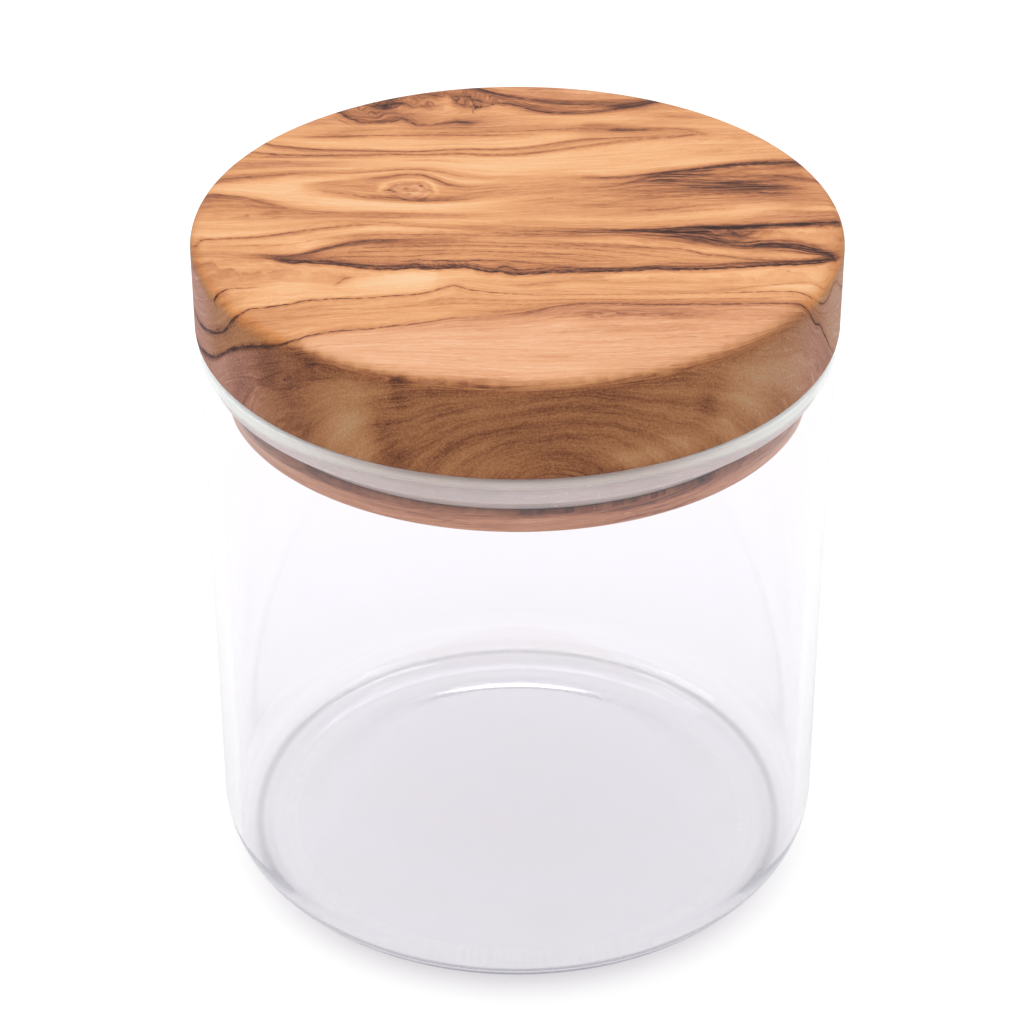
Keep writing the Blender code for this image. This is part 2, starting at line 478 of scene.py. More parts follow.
glass, tree, out = new_material("clear_glass")
place = node(tree, "ShaderNodeTexCoord").outputs["Object"]
ripple = node(tree, "ShaderNodeBump", None, Strength=RIPPLE_STRENGTH, Distance=RIPPLE_HEIGHT,
              Height=noise(tree, stretched(tree, place, RIPPLES), 1.0, 1.0))
across, deep, height = node(tree, "ShaderNodeSeparateXYZ", None, Vector=stretched(
    tree, place, (1 / MM, 1 / MM, 1 / MM))).outputs
from_axis = node(tree, "ShaderNodeVectorMath", {"operation": "LENGTH"}, i0=node(
    tree, "ShaderNodeCombineXYZ", None, X=across, Y=deep).outputs[0]).outputs["Value"]
beside_line = maths(tree, "ABSOLUTE", maths(tree, "SUBTRACT", from_axis, LINE_AT))
# Painted shade in a thin ring round the inner corner, on the inner floor.
painted_ring = maths(tree, "MULTIPLY", mapped(tree, beside_line, *LINE_WIDTH, 1.0, 0.0),
                   mapped(tree, height, 2.6, 2.8))
swirl = noise(tree, stretched(tree, place, SWIRLS), 1.0, 3.0, 0.55, 0.8)
uneven = maths(tree, "MULTIPLY", mapped(tree, swirl, 0.36, 0.64, 0.35, 1.0),
               mapped(tree, height, 3.2, 3.5, 1.0, 0.0))
tint = blended(tree, uneven, GLASS_TINT, BASE_TINT)
tint = blended(tree, painted_ring, tint, PAINTED_RING_SHADE)
sideways = mapped(tree, maths(tree, "ABSOLUTE", across), 16.0, 44.0)
lowered = maths(tree, "MULTIPLY_ADD", sideways, RIM_WIDER, height)
at_rim = mapped(tree, lowered, JAR_HEIGHT - RIM_DEPTH[0], JAR_HEIGHT - RIM_DEPTH[1])
clear = node(tree, "ShaderNodeBsdfPrincipled", None, Base_Color=tint, Roughness=0.0,
             IOR=GLASS_INDEX, Transmission_Weight=1.0, Normal=ripple.outputs[0])
# The matt rim shader carries the painted reflection and the painted light of the rim.
painted_rim = node(tree, "ShaderNodeBsdfPrincipled", None, Roughness=GROUND_ROUGHNESS, IOR=GLASS_INDEX,
              Base_Color=blended(tree, sideways, RIM_FRONT_PAINTED_REFLECTION, RIM_SIDE_PAINTED_LIGHT))
body = node(tree, "ShaderNodeMixShader", None, i0=maths(tree, "MULTIPLY", at_rim, RIM_PAINTED_SHARE),
            i1=clear.outputs[0], i2=painted_rim.outputs[0])
film = node(tree, "ShaderNodeBsdfTransparent", None, Color=FILM_TINT)
ray = node(tree, "ShaderNodeLightPath")
lost = node(tree, "ShaderNodeEmission", None, Color=LOST_GLOW)
caught = maths(tree, "GREATER_THAN", ray.outputs["Ray Depth"], LOST_AFTER)
body = node(tree, "ShaderNodeMixShader", None, i0=caught, i1=body.outputs[0], i2=lost.outputs[0])
passes = maths(tree, "MAXIMUM", ray.outputs["Is Shadow Ray"], ray.outputs["Is Diffuse Ray"])
mix = node(tree, "ShaderNodeMixShader", None, i0=passes, i1=body.outputs[0], i2=film.outputs[0])
tree.links.new(mix.outputs[0], out.inputs["Surface"])
depth = node(tree, "ShaderNodeVolumeAbsorption", None, Color=DEEP_TINT, Density=DEEP_DENSITY)
tree.links.new(depth.outputs[0], out.inputs["Volume"])
jar.data.materials.append(glass)
print("glass nodes:", len(tree.nodes))

# %% [markdown]
# ## Silicone seal
#
# The ring sits in the plug's groove and its soft ribs are squeezed flat against the bore, so
# through the wall they show as a pale grey band. A rubber ring could be a plain torus, but its
# ribs and the fine lines that the mould leaves are what one sees, so they are in the profile.

# %% Seal
DISC_UNDERSIDE = round(JAR_HEIGHT + 0.3, 2)
NECK = 41.8
FLANGE = 45.1
FLANGE_TOP = 89.4
SEAT_GAP = 0.3
BAND = 1.6
RIB_PITCH = 2.2
RIB_TOP = DISC_UNDERSIDE - 1.4
RIB_BOTTOM = DISC_UNDERSIDE - 5.6
RIB_REACH = 47.42
RIB_DIP = 0.10
RIB_ROUNDING = 0.25
MOULD_LINE = 0.03
MOULD_PITCH = 0.42


def seal_profile():
    """Down the ribbed outer side and back up the ring's bore.

    The ribs and the mould's lines are cosine waves cut into the side, and both ends of the side
    are rounded off by an exponential."""
    bore = NECK + SEAT_GAP
    band = bore + BAND
    top = DISC_UNDERSIDE - SEAT_GAP
    bottom = FLANGE_TOP + SEAT_GAP
    runs = [[bore, top - 0.5], [bore + 0.15, top - 0.15], [bore + 0.5, top]]
    runs.append(straight((bore + 0.5, top), (band, top), 4))
    z = np.linspace(RIB_TOP, RIB_BOTTOM, 60)
    dip = RIB_DIP * (1 - np.cos(2 * np.pi * (RIB_TOP - z) / RIB_PITCH)) / 2
    line = MOULD_LINE * (1 - np.cos(2 * np.pi * z / MOULD_PITCH)) / 2
    ends = np.exp(-(RIB_TOP - z) / RIB_ROUNDING) + np.exp(-(z - RIB_BOTTOM) / RIB_ROUNDING)
    ends = 0.5 * ends
    ribs = np.stack([RIB_REACH - dip - line - ends, z], axis=1)
    foot = (band, RIB_BOTTOM - 0.6)
    runs += [straight((band, top), ribs[0], 6), ribs]
    runs += [straight(ribs[-1], foot, 4), straight(foot, (band, bottom), 8)]
    runs += [straight((band, bottom), (bore + 0.5, bottom), 4)]
    runs += [[bore + 0.15, bottom + 0.15], [bore, bottom + 0.5]]
    runs += [straight((bore, bottom + 0.5), (bore, top - 0.9), 8)]
    return joined(*runs)


SEAL_SEGMENTS = 200
seal, _ = turned("seal", seal_profile(), SEAL_SEGMENTS, loop=True)
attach(seal, "seal")
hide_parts("silicone_seal")

# %% Silicone material
SILICONE = linear(214, 200, 192)
SILICONE_CLOUD = linear(205, 191, 183)
DUST = linear(240, 236, 232)
DUST_SHARE = 0.35

rubber, tree, out = new_material("pale_silicone")
place = node(tree, "ShaderNodeTexCoord").outputs["Object"]
cloud = noise(tree, place, 90.0, 3.0)
dust_and_sheen = mapped(tree, noise(tree, place, 1400.0, 2.0), 0.62, 0.72)
tone = blended(tree, mapped(tree, cloud, 0.35, 0.65), SILICONE, SILICONE_CLOUD)
tone = blended(tree, maths(tree, "MULTIPLY", dust_and_sheen, DUST_SHARE), tone, DUST)
skin = node(tree, "ShaderNodeBump", None, Strength=0.2, Distance=0.0001,
            Height=noise(tree, place, 2200.0, 2.0))
shader = node(tree, "ShaderNodeBsdfPrincipled", None, Base_Color=tone, Roughness=0.48,
              Subsurface_Weight=0.25, Subsurface_Scale=0.0015, Normal=skin.outputs[0])
tree.links.new(shader.outputs[0], out.inputs["Surface"])
seal.data.materials.append(rubber)
print("silicone nodes:", len(tree.nodes))

# %% [markdown]
# ## The figure of the wood
#
# Olive wood is pale sapwood and brown heartwood crossed by thin dark veins. On a board sawn along
# the trunk the yearly layers meet the surface at a low angle, so they run along it as wavy lines
# that part round a knot and close in long lenses. A noise texture gives wood of no tree in
# particular. This board has a figure of its own, so its layers and veins are drawn one by one, as
# lines in millimetres that run from left to right, and noise only frays them.

# %% Lines across the board
def columns(points):
    """A list of points as one array for each coordinate."""
    return np.array(points, float).T


def smooth_line(line_x, line_y, x):
    """The height at x of a smooth curve through the points, level beyond its ends.

    Between two points it is the cubic that has both points' heights and slopes."""
    i = np.clip(np.searchsorted(line_x, x) - 1, 0, len(line_x) - 2)
    step = line_x[i + 1] - line_x[i]
    t = np.clip((x - line_x[i]) / step, 0, 1)
    slope = np.gradient(line_y, line_x)
    start = (2 * t**3 - 3 * t**2 + 1) * line_y[i] + (t**3 - 2 * t**2 + t) * slope[i] * step
    end = (3 * t**2 - 2 * t**3) * line_y[i + 1] + (t**3 - t**2) * slope[i + 1] * step
    return start + end


def line_at(points, x):
    """The height at x of the smooth curve through a list of (x, y) points."""
    return smooth_line(*columns(points), x)


def eased(value, low, high):
    """0 below low, 1 above high, and 3 t^2 - 2 t^3 between them."""
    t = np.clip((value - low) / (high - low), 0, 1)
    return t * t * (3 - 2 * t)


def patch(x, y, centre_x, centre_y, reach_x, reach_y, tilt=0.0):
    """exp(-q), where q is 1 on an ellipse of these reaches, turned by tilt degrees."""
    turn = np.radians(tilt)
    u = (x - centre_x) * np.cos(turn) + (y - centre_y) * np.sin(turn)
    v = (y - centre_y) * np.cos(turn) - (x - centre_x) * np.sin(turn)
    return np.exp(-(u / reach_x)**2 - (v / reach_y)**2)


print("a curve over a step of 2 mm is half way up at", line_at([(0, 0), (2, 2)], 1.0), "mm")

# %% [markdown]
# The long veins come first, because the layers beside them follow them. Each is a list of (x, y)
# places on the lid's top, seen from above: x to the right, y away from the front.

# %% Long veins
FRONT_VEIN = [
    (-56, -39.8), (-46, -39.5), (-38, -39.3), (-33.5, -39), (-32.3, -38.3), (-31, -37.1),
    (-29, -36.2), (-26, -35.2), (-22, -34.6), (-18, -33.7), (-14, -32.8), (-10, -31.5), (-5, -30.9),
    (0, -30), (3, -29), (5, -28), (8, -27.2), (12, -27), (20, -27.2), (30, -27), (40, -26.9),
    (46, -27.3), (56, -28)]
SECOND_VEIN = [
    (-56, -31), (-48, -30.4), (-43, -30), (-40.7, -29.3), (-39.5, -28.7), (-37, -28.2), (-34, -27.3),
    (-31, -26), (-28, -25.6), (-23, -25.2), (-19, -24.6), (-15, -24), (-12.5, -23), (-10.5, -21.8),
    (-9.3, -21.4), (-8, -22.2), (-5, -23.2), (0, -24), (10, -24.2), (20, -24), (28, -23.6),
    (35, -23.4), (41, -23.4), (44, -24.5), (48, -26), (56, -27.5)]
LENS_VEIN = [
    (-56, -12.2), (-42, -12.3), (-36.8, -13), (-35, -13.8), (-31, -14.1), (-28, -14.4), (-25, -15.2),
    (-22, -16), (-19, -16.2), (-16, -15.8), (-13, -16), (-10, -15.7), (-7, -15.8), (-5, -16.8),
    (-2.5, -17), (-1, -17.6), (2, -17.6), (5, -17.2), (10, -17), (15, -16.7), (20, -16.2),
    (25, -16.3), (30, -16), (34, -15.5), (38, -15), (42, -14.7), (45, -14.3), (47.5, -13.8),
    (52, -14.4), (56, -15)]
BACK_VEIN = [
    (-56, 25), (-46, 24.6), (-43.5, 24), (-41, 23.3), (-38, 22.8), (-30, 22.5), (-20, 22.9),
    (-15, 22.7), (-9, 23.1), (-5, 22.6), (0, 22.9), (6, 24.3), (10, 25.6), (14, 26.8), (18, 28),
    (22, 28.7), (26, 29.3), (28, 29.9), (31, 30.3), (40, 30.4), (56, 30.6)]
REAR_VEIN = [
    (-56, 30), (-46, 29), (-41, 27.4), (-40, 26.6), (-37, 25.6), (-33, 24.8), (-25, 24.2), (-15, 24),
    (-13, 24.3), (-10, 24.7), (-3, 24.8), (0, 25.1), (5, 26.5), (8, 27.5), (12, 28.5), (20, 29.1),
    (26, 29.7), (28, 30.2), (31, 30.45), (40, 30.6), (56, 30.8)]
LONG_VEINS = (FRONT_VEIN, SECOND_VEIN, LENS_VEIN, BACK_VEIN, REAR_VEIN)
print("points on the long veins:", [len(line) for line in LONG_VEINS])

# %% [markdown]
# ## Growth layers
#
# Each layer is a line of (x, y, tone), with tone 0 for the palest sapwood and 100 for nearly black.
# Between two layers the tone is mixed, so a sharp edge is two layers close together, and a lens
# opens where two layers part.

# %% Layers from the front edge to the back
def follow(line, offset, tones):
    """A layer that keeps beside a vein, with its own (x, tone) pairs."""
    at, tone = columns(tones)
    return [(x, y + offset, float(np.interp(x, at, tone))) for x, y in line]


LAYERS = [
    [(-56, -95, 34), (56, -95, 34)],
    [(-56, -64, 36), (0, -62, 36), (56, -64, 36)],
    [(-56, -52, 36), (-30, -52, 34), (0, -51, 32), (25, -51, 34), (56, -52, 36)],
    [(-56, -50, 34), (-30, -48.5, 32), (-16, -47.5, 32), (0, -49, 30), (12, -47.6, 30),
     (25, -47.5, 32), (56, -48, 34)],
    [(-56, -47, 30), (-22, -44, 20), (-8, -45.5, 18), (0, -46.7, 16), (8, -46.3, 16),
     (14, -45.5, 25), (30, -44, 29), (56, -46, 32)],
    [(-56, -45, 30), (-24, -42.4, 20), (-14, -43.6, 18), (0, -44.4, 21), (12, -43.9, 25),
     (30, -42, 29), (56, -43, 32)],
    [(-56, -43, 27), (-26, -40.6, 18), (-12, -40.2, 16), (0, -40.4, 16), (15, -40, 21),
     (30, -38.5, 27), (56, -40, 32)],
    [(-56, -41.6, 25), (-30, -38.6, 18), (-20, -36.8, 18), (-10, -36, 16), (0, -36, 20),
     (10, -35.4, 23), (30, -34, 27), (56, -35, 32)],
    follow(FRONT_VEIN, -1.9, [(-56, 25), (-32, 20), (-20, 21), (-14, 29), (-6, 30), (0, 30), (8, 29),
     (20, 29), (40, 32), (56, 34)]),
    follow(FRONT_VEIN, -0.75, [(-56, 27), (-32, 21), (-20, 25), (-14, 36), (-6, 34), (0, 32), (8, 34),
     (20, 32), (40, 34), (56, 36)]),
    follow(FRONT_VEIN, -0.1, [(-56, 34), (-32, 36), (-20, 34), (-6, 30), (2, 29), (6, 36), (56, 39)]),
    follow(FRONT_VEIN, 0.25, [(-56, 36), (-32, 34), (-14, 30), (0, 34), (8, 34), (24, 36), (56, 38)]),
    [(-56, -37, 36), (-36, -33, 34), (-20, -30.5, 28), (-10, -28.9, 28), (0, -28.2, 28),
     (6, -26.8, 30), (20, -26.4, 34), (40, -26.2, 36), (56, -27, 36)],
    [(-56, -34, 34), (-36, -30.5, 36), (-20, -27.8, 28), (-10, -26.6, 30), (0, -25.8, 24),
     (10, -25.5, 20), (30, -25.1, 18), (41, -25, 22), (56, -27.2, 30)],
    follow(SECOND_VEIN, -0.35, [(-56, 34), (-40, 32), (-28, 30), (-12, 26), (0, 20), (10, 17),
     (30, 16), (40, 20), (56, 30)]),
    follow(SECOND_VEIN, 0.45, [(-56, 34), (-40, 26), (-36, 14), (-20, 14), (-12, 16), (-9, 30),
     (-5, 26), (0, 28), (10, 24), (20, 30), (30, 30), (36, 18), (44, 20), (56, 30)]),
    [(-56, -24, 36), (-44, -23, 34), (-36, -22.6, 26), (-28, -22.8, 24), (-22, -22.5, 12),
     (-14, -21.5, 8), (-9, -20.3, 20), (0, -21.6, 26), (4, -20.9, 36), (8, -21, 24), (14, -22, 28),
     (30, -22.6, 32), (38, -22, 12), (44, -21.9, 14), (56, -23, 30)],
    [(-56, -21, 40), (-42, -20, 40), (-36, -19, 44), (-32, -19.5, 38), (-27, -20, 38),
     (-24, -19.8, 16), (-17, -19, 5), (-12.6, -19, 6), (-11.6, -18.8, 18), (0, -19.2, 24),
     (6, -19.9, 30), (12, -19.9, 30), (25, -20.1, 28), (40, -20.3, 28), (45, -20.4, 24), (56, -21, 30)],
    [(-56, -17, 40), (-42, -16.5, 38), (-36, -16.5, 44), (-32, -17, 36), (-28, -17, 30),
     (-23, -17.6, 24), (-17, -17.2, 8), (-12.6, -17.2, 8), (-11.6, -17.2, 18), (-8, -17.8, 20),
     (0, -18.8, 22), (8, -18.6, 28), (16, -18.1, 18), (24, -18, 24), (34, -17, 14), (42, -16.4, 18),
     (47, -16.6, 24), (56, -18, 30)],
    follow(LENS_VEIN, -0.55, [(-56, 38), (-37, 36), (-30, 28), (-20, 20), (-14, 12), (-5, 18), (0, 22),
     (10, 26), (20, 20), (40, 16), (47, 30), (56, 34)]),
    follow(LENS_VEIN, -0.15, [(-56, 38), (-37.5, 40), (-34, 50), (-20, 40), (-14, 30), (0, 36),
     (10, 36), (20, 30), (40, 30), (47, 50), (56, 38)]),
    follow(LENS_VEIN, 0.25, [(-56, 38), (-38, 40), (-36, 85), (-20, 72), (-5, 66), (0, 72), (10, 70),
     (30, 62), (47, 80), (49, 44), (56, 38)]),
    follow(LENS_VEIN, 0.95, [(-56, 37), (-38.5, 38), (-36.4, 90), (-30, 66), (-22, 56), (-16, 62),
     (-8, 50), (0, 56), (10, 50), (20, 50), (30, 40), (42, 56), (47.4, 85), (49, 42), (56, 38)]),
    [(-56, -11.1, 36), (-40, -11.3, 34), (-36.5, -12.2, 90), (-31, -12.9, 72), (-27, -13.3, 50),
     (-23, -13.6, 42), (-18, -13.9, 42), (-8, -14, 44), (0, -14.6, 46), (8, -14.8, 40),
     (20, -14.3, 36), (30, -14.1, 34), (38, -13.4, 42), (46, -12.9, 66), (48, -12.9, 60),
     (50, -13, 40), (56, -13.8, 40)],
    [(-56, -10.9, 36), (-40, -11.1, 30), (-36.5, -12, 85), (-31, -12.2, 56), (-27, -11.8, 44),
     (-23, -12.2, 44), (-18, -12.3, 38), (0, -12.8, 36), (10, -12.8, 36), (20, -12.8, 34),
     (30, -12.9, 32), (38, -13.1, 36), (44, -13.1, 36), (47.6, -12.6, 80), (49, -12.6, 44),
     (56, -13.2, 40)],
    [(-56, -10.7, 35), (-40, -10.9, 26), (-36.4, -11.9, 80), (-31, -11.4, 62), (-27.5, -10, 50),
     (-24, -9.8, 34), (-18, -9.9, 36), (-8, -9.8, 38), (0, -10.2, 36), (10, -10.6, 34),
     (20, -10.8, 28), (27, -11.4, 32), (33, -12.4, 30), (42, -12.9, 28), (47.5, -12.3, 80),
     (49, -12.2, 42), (56, -12.6, 40)],
    [(-56, -10.5, 35), (-40, -10.6, 22), (-36.3, -11.7, 75), (-33, -11.5, 80), (-30.5, -10.2, 82),
     (-28, -8.9, 74), (-25.5, -7.8, 70), (-22, -7.1, 62), (-18, -6.9, 54), (-12, -6.9, 46),
     (-6, -7, 38), (0, -7.4, 36), (8, -7.9, 38), (16, -8.6, 46), (22, -9.6, 46), (27, -11, 50),
     (30, -12, 46), (36, -12.7, 42), (44, -12.6, 34), (47.4, -12, 80), (49, -11.8, 42),
     (56, -12.2, 40)],
    [(-56, -10.2, 34), (-42, -10.2, 24), (-37.5, -11.2, 34), (-35, -11.3, 42), (-33, -10.9, 42),
     (-30.5, -9.4, 50), (-28, -8.1, 46), (-25.5, -7, 44), (-22, -6.4, 38), (-18, -6.2, 34),
     (-12, -6.1, 38), (-6, -6.2, 38), (0, -6.5, 36), (10, -7.1, 30), (20, -8.6, 24), (28, -10.2, 28),
     (33, -11.1, 26), (40, -11.7, 20), (45, -12, 30), (47.2, -11.7, 75), (49, -11.4, 40),
     (56, -11.8, 40)],
    [(-56, -9.8, 34), (-46, -9.2, 36), (-40, -8.7, 36), (-35, -8.2, 30), (-32, -8.6, 22),
     (-30, -7.9, 28), (-27, -6.6, 32), (-24, -5.7, 32), (-20, -5.4, 30), (-15, -5.4, 34),
     (-8, -5.6, 36), (0, -5.9, 34), (10, -5.9, 34), (16, -5.6, 36), (20, -6.4, 38), (25, -7.6, 40),
     (28, -8.6, 42), (31, -9.7, 42), (34, -10.1, 42), (38, -10.2, 42), (42, -10.6, 46),
     (45, -11.6, 60), (47, -11.4, 72), (49, -11, 40), (56, -11.2, 40)],
    [(-56, -9.2, 34), (-46, -8.3, 28), (-40, -7.7, 18), (-34, -7, 16), (-30, -5.7, 20),
     (-25, -4.5, 24), (-20, -4, 22), (-15, -4, 22), (0, -4.9, 40), (10, -5, 48), (16, -5, 55),
     (22, -5.8, 62), (28, -7.2, 80), (31, -8.3, 84), (34, -9, 80), (38, -8.9, 78), (42, -9.3, 86),
     (44, -10.2, 86), (46, -11, 85), (47.3, -11, 70), (49, -10.6, 42), (56, -10.8, 42)],
    [(-56, -8.4, 34), (-46, -7.4, 30), (-40, -6.7, 24), (-34, -5.9, 22), (-30, -4.6, 24),
     (-25, -3.4, 18), (-20, -2.9, 10), (-15, -3, 12), (-8, -3.6, 30), (0, -4.2, 46), (10, -4.3, 60),
     (16, -4.3, 66), (22, -4.9, 76), (28, -5.8, 86), (31, -6.9, 86), (34, -7.6, 74), (37, -7.2, 66),
     (40, -7.1, 72), (43, -7.9, 66), (45, -9, 62), (47, -10, 50), (49, -10.2, 42), (56, -10.3, 40)],
    [(-56, -7.6, 32), (-46, -6.5, 40), (-40, -5.8, 46), (-36, -4.9, 46), (-32, -3.7, 46),
     (-28, -2.6, 46), (-25, -2, 42), (-22, -1.8, 34), (-18, -2.2, 26), (-15, -2.5, 24),
     (0, -3.8, 44), (10, -3.9, 62), (16, -4, 68), (22, -4.3, 76), (28, -4.7, 88), (31, -5.6, 86),
     (34, -5.9, 72), (36.5, -5.6, 34), (40, -5.8, 20), (44, -6.4, 24), (47, -7.5, 30), (49, -8.5, 34),
     (56, -9, 38)],
    [(-56, -5.9, 20), (-46, -5.6, 10), (-40, -5, 12), (-36, -4, 14), (-32, -2.8, 20),
     (-28, -1.8, 26), (-25, -1.3, 30), (-22, -1.2, 28), (-18, -1.6, 30), (-15, -2.2, 32),
     (0, -3.5, 44), (10, -3.6, 62), (16, -3.8, 70), (22, -3.8, 78), (28, -3.6, 88), (31, -4, 88),
     (34, -4.1, 84), (37, -3.7, 50), (40, -3.6, 26), (44, -3.4, 22), (48, -3.4, 22), (56, -3.4, 30)],
    [(-56, -4.6, 20), (-46, -4.3, 20), (-40, -3.6, 26), (-35, -2.6, 28), (-30, -1.2, 30),
     (-25, -0.8, 30), (-20, -1, 34), (-15, -1.8, 36), (0, -3.2, 40), (10, -3.4, 58), (16, -3.6, 70),
     (20, -3.4, 76), (24, -3, 80), (28, -2.5, 86), (31, -2.5, 88), (35, -2.5, 88), (38, -2.3, 84),
     (41, -2.1, 80), (45, -1.7, 74), (50, -1.4, 72), (56, -1.2, 72)],
    [(-56, -3.6, 26), (-46, -3.5, 28), (-40, -2.8, 30), (-35, -1.8, 30), (-30, -0.6, 34),
     (-25, -0.3, 36), (-20, -0.6, 36), (-15, -1.4, 34), (0, -2.7, 34), (10, -2.9, 36), (16, -3.1, 40),
     (20, -2.9, 40), (24, -2.5, 42), (28, -1.9, 44), (31, -1.8, 46), (35, -1.7, 50), (38, -1.4, 50),
     (41, -1.1, 50), (45, -0.8, 52), (50, -0.5, 52), (56, -0.4, 50)],
    [(-56, -1.6, 30), (-40, -0.9, 32), (-30, 0.3, 36), (-22, 0.1, 30), (-16, 0, 18), (-8, 0, 18),
     (0, -0.4, 24), (10, -0.9, 28), (25, -0.5, 26), (33, 0.1, 28), (38, 0.6, 40), (43, 0.9, 44),
     (50, 1.3, 42), (56, 1.4, 40)],
    [(-56, 1, 34), (-44, 0.8, 38), (-38, 1, 44), (-33, 1.4, 44), (-28, 1.2, 42), (-20, 1, 42),
     (-12, 0.8, 40), (0, 0.8, 30), (10, 0.6, 30), (18, 0.7, 28), (24, 1.2, 22), (29, 1.9, 13),
     (34, 2.8, 12), (38, 3.4, 18), (42, 3.6, 28), (46, 3.4, 24), (50, 3.3, 24), (56, 3.2, 25)],
    [(-56, 3.6, 44), (-47, 3.8, 44), (-41, 3.4, 42), (-37, 3.2, 50), (-34, 2.7, 52), (-31, 2.3, 50),
     (-27, 2, 46), (-20, 1.9, 44), (-12, 1.5, 42), (0, 1.9, 34), (8, 2.2, 38), (14, 2.8, 46),
     (20, 3.2, 50), (26, 3.6, 46), (30, 4, 38), (35, 4.6, 28), (40, 5, 32), (44, 5.2, 40),
     (48, 5, 36), (56, 4.8, 40)],
    [(-56, 6.5, 46), (-47, 6.2, 48), (-43, 5.7, 44), (-40, 5, 46), (-38, 4.5, 46), (-35, 3.9, 34),
     (-31, 3.3, 24), (-28, 2.9, 20), (-20, 2.8, 16), (-12, 2.4, 18), (-4, 3, 30), (4, 4, 34),
     (9, 4.6, 40), (13, 4.6, 56), (17, 5, 48), (24, 5.8, 44), (30, 5.8, 38), (36, 6.6, 44),
     (42, 7.4, 50), (47, 7.2, 42), (56, 7, 40)],
    [(-56, 9, 42), (-50, 8.9, 50), (-47, 8.4, 54), (-43, 7.5, 50), (-40, 6.3, 50), (-38, 5.7, 34),
     (-35, 5.2, 20), (-31, 4.9, 12), (-26, 4.6, 8), (-18, 4.2, 5), (-12, 4.2, 8), (-4, 4.8, 24),
     (2, 6, 32), (8, 7, 36), (14, 7.2, 42), (20, 7.8, 46), (28, 8.4, 44), (34, 8.8, 50), (40, 9, 50),
     (46, 9.2, 42), (56, 9, 40)],
    [(-56, 10, 34), (-50, 9.9, 30), (-47, 9.3, 24), (-43, 8.6, 16), (-38, 7.8, 10), (-33, 7.6, 9),
     (-28, 6.6, 7), (-22, 5.5, 5), (-16, 5, 6), (-10, 5.2, 12), (-4, 6.4, 26), (2, 8, 32),
     (8, 9, 34), (14, 9.3, 42), (22, 9.7, 52), (30, 9.9, 60), (36, 10.1, 66), (42, 10.2, 52),
     (48, 10.3, 42), (56, 10, 40)],
    [(-56, 11, 30), (-48, 10.6, 16), (-44, 10.2, 10), (-37, 9.5, 9), (-34.5, 10.4, 12),
     (-33, 10.6, 26), (-30, 9.7, 42), (-27, 9, 46), (-24, 8, 48), (-21, 7.5, 52), (-18, 6.8, 52),
     (-15, 6.4, 54), (-10, 6.8, 48), (-4, 8.4, 38), (2, 9.6, 34), (10, 10.6, 36), (16, 11, 40),
     (22, 11.4, 56), (28, 11.2, 70), (34, 11.2, 86), (38, 11.1, 86), (42, 11.1, 62), (46, 11.4, 44),
     (56, 11.4, 40)],
    [(-56, 12, 30), (-48, 11.3, 16), (-44, 11, 10), (-37, 10.4, 10), (-34.5, 10.8, 12),
     (-33, 11, 30), (-30, 11, 42), (-26, 10.9, 40), (-22, 10.3, 40), (-20, 10, 40), (-16, 10, 46),
     (-12, 10, 42), (-8, 9.8, 44), (-3, 10.6, 36), (4, 11.4, 34), (10, 11.7, 36), (16, 12.2, 42),
     (20, 13, 54), (24, 13.1, 72), (28, 12.7, 76), (32, 12.4, 84), (36, 12.3, 82), (40, 12.1, 68),
     (43, 12.3, 50), (48, 12.6, 44), (56, 12.6, 42)],
    [(-56, 12.6, 42), (-50, 12.2, 36), (-46, 12.2, 26), (-42, 12.3, 16), (-37, 12, 10),
     (-34.5, 11.6, 13), (-33, 11.6, 30), (-30, 12.7, 42), (-26, 13.2, 38), (-23, 13.1, 44),
     (-20.5, 12.6, 24), (-17, 13.6, 20), (-14, 12.8, 24), (-11, 11.3, 40), (-8, 11, 42),
     (-3, 11.8, 32), (4, 12.6, 32), (12, 13.2, 36), (18, 13.8, 48), (22, 14.8, 78), (26, 14.7, 78),
     (30, 14.2, 64), (36, 14.4, 60), (42, 14.6, 58), (47, 13.6, 56), (56, 13, 50)],
    [(-56, 13.2, 48), (-50, 13, 48), (-46, 13.2, 44), (-42, 13.5, 30), (-37, 13.4, 14),
     (-32, 13.6, 14), (-27, 14, 18), (-24.5, 14.2, 36), (-21, 14.8, 50), (-18, 15.6, 50),
     (-15, 15.3, 52), (-13, 14.1, 52), (-11, 12.6, 52), (-8, 12, 40), (-3, 12.7, 30), (4, 13.4, 30),
     (11, 14.3, 50), (15, 14.3, 58), (19, 15, 64), (22, 15.9, 80), (25, 16.1, 84), (28, 16.3, 64),
     (32, 16.6, 50), (38, 16.8, 48), (44, 17, 42), (56, 17, 40)],
    [(-56, 14, 48), (-50, 13.9, 50), (-46, 14.2, 48), (-42, 14.8, 46), (-37, 15.4, 42),
     (-32, 15.5, 30), (-27, 15.3, 16), (-22, 15.9, 14), (-18, 16.6, 18), (-14.5, 16.3, 18),
     (-12, 14.6, 16), (-9.5, 13.2, 14), (-6, 13, 14), (-2, 13.3, 22), (4, 13.9, 30), (11, 14.7, 44),
     (15, 14.8, 48), (20, 15.6, 58), (24, 16.5, 80), (27, 17.1, 84), (30, 17.8, 86), (33, 18.7, 84),
     (37, 19.2, 80), (41, 19.7, 82), (45.5, 19.8, 84), (56, 19.8, 80)],
    [(-56, 14.8, 40), (-50, 14.7, 42), (-46, 15.1, 42), (-42, 15.7, 42), (-37, 16.4, 42),
     (-32, 16.5, 40), (-26, 16.6, 38), (-22, 17.1, 36), (-18, 17.6, 38), (-15, 17.4, 38),
     (-12, 16.7, 38), (-10, 15.7, 38), (-7, 14.9, 34), (-3, 14.6, 28), (4, 14.9, 30), (11, 15.2, 36),
     (15, 15.2, 32), (20, 16.2, 30), (24, 17.2, 36), (27, 17.9, 42), (30, 18.6, 46), (33, 19.5, 48),
     (37, 20.1, 48), (41, 20.6, 52), (45.5, 20.8, 52), (56, 20.8, 50)],
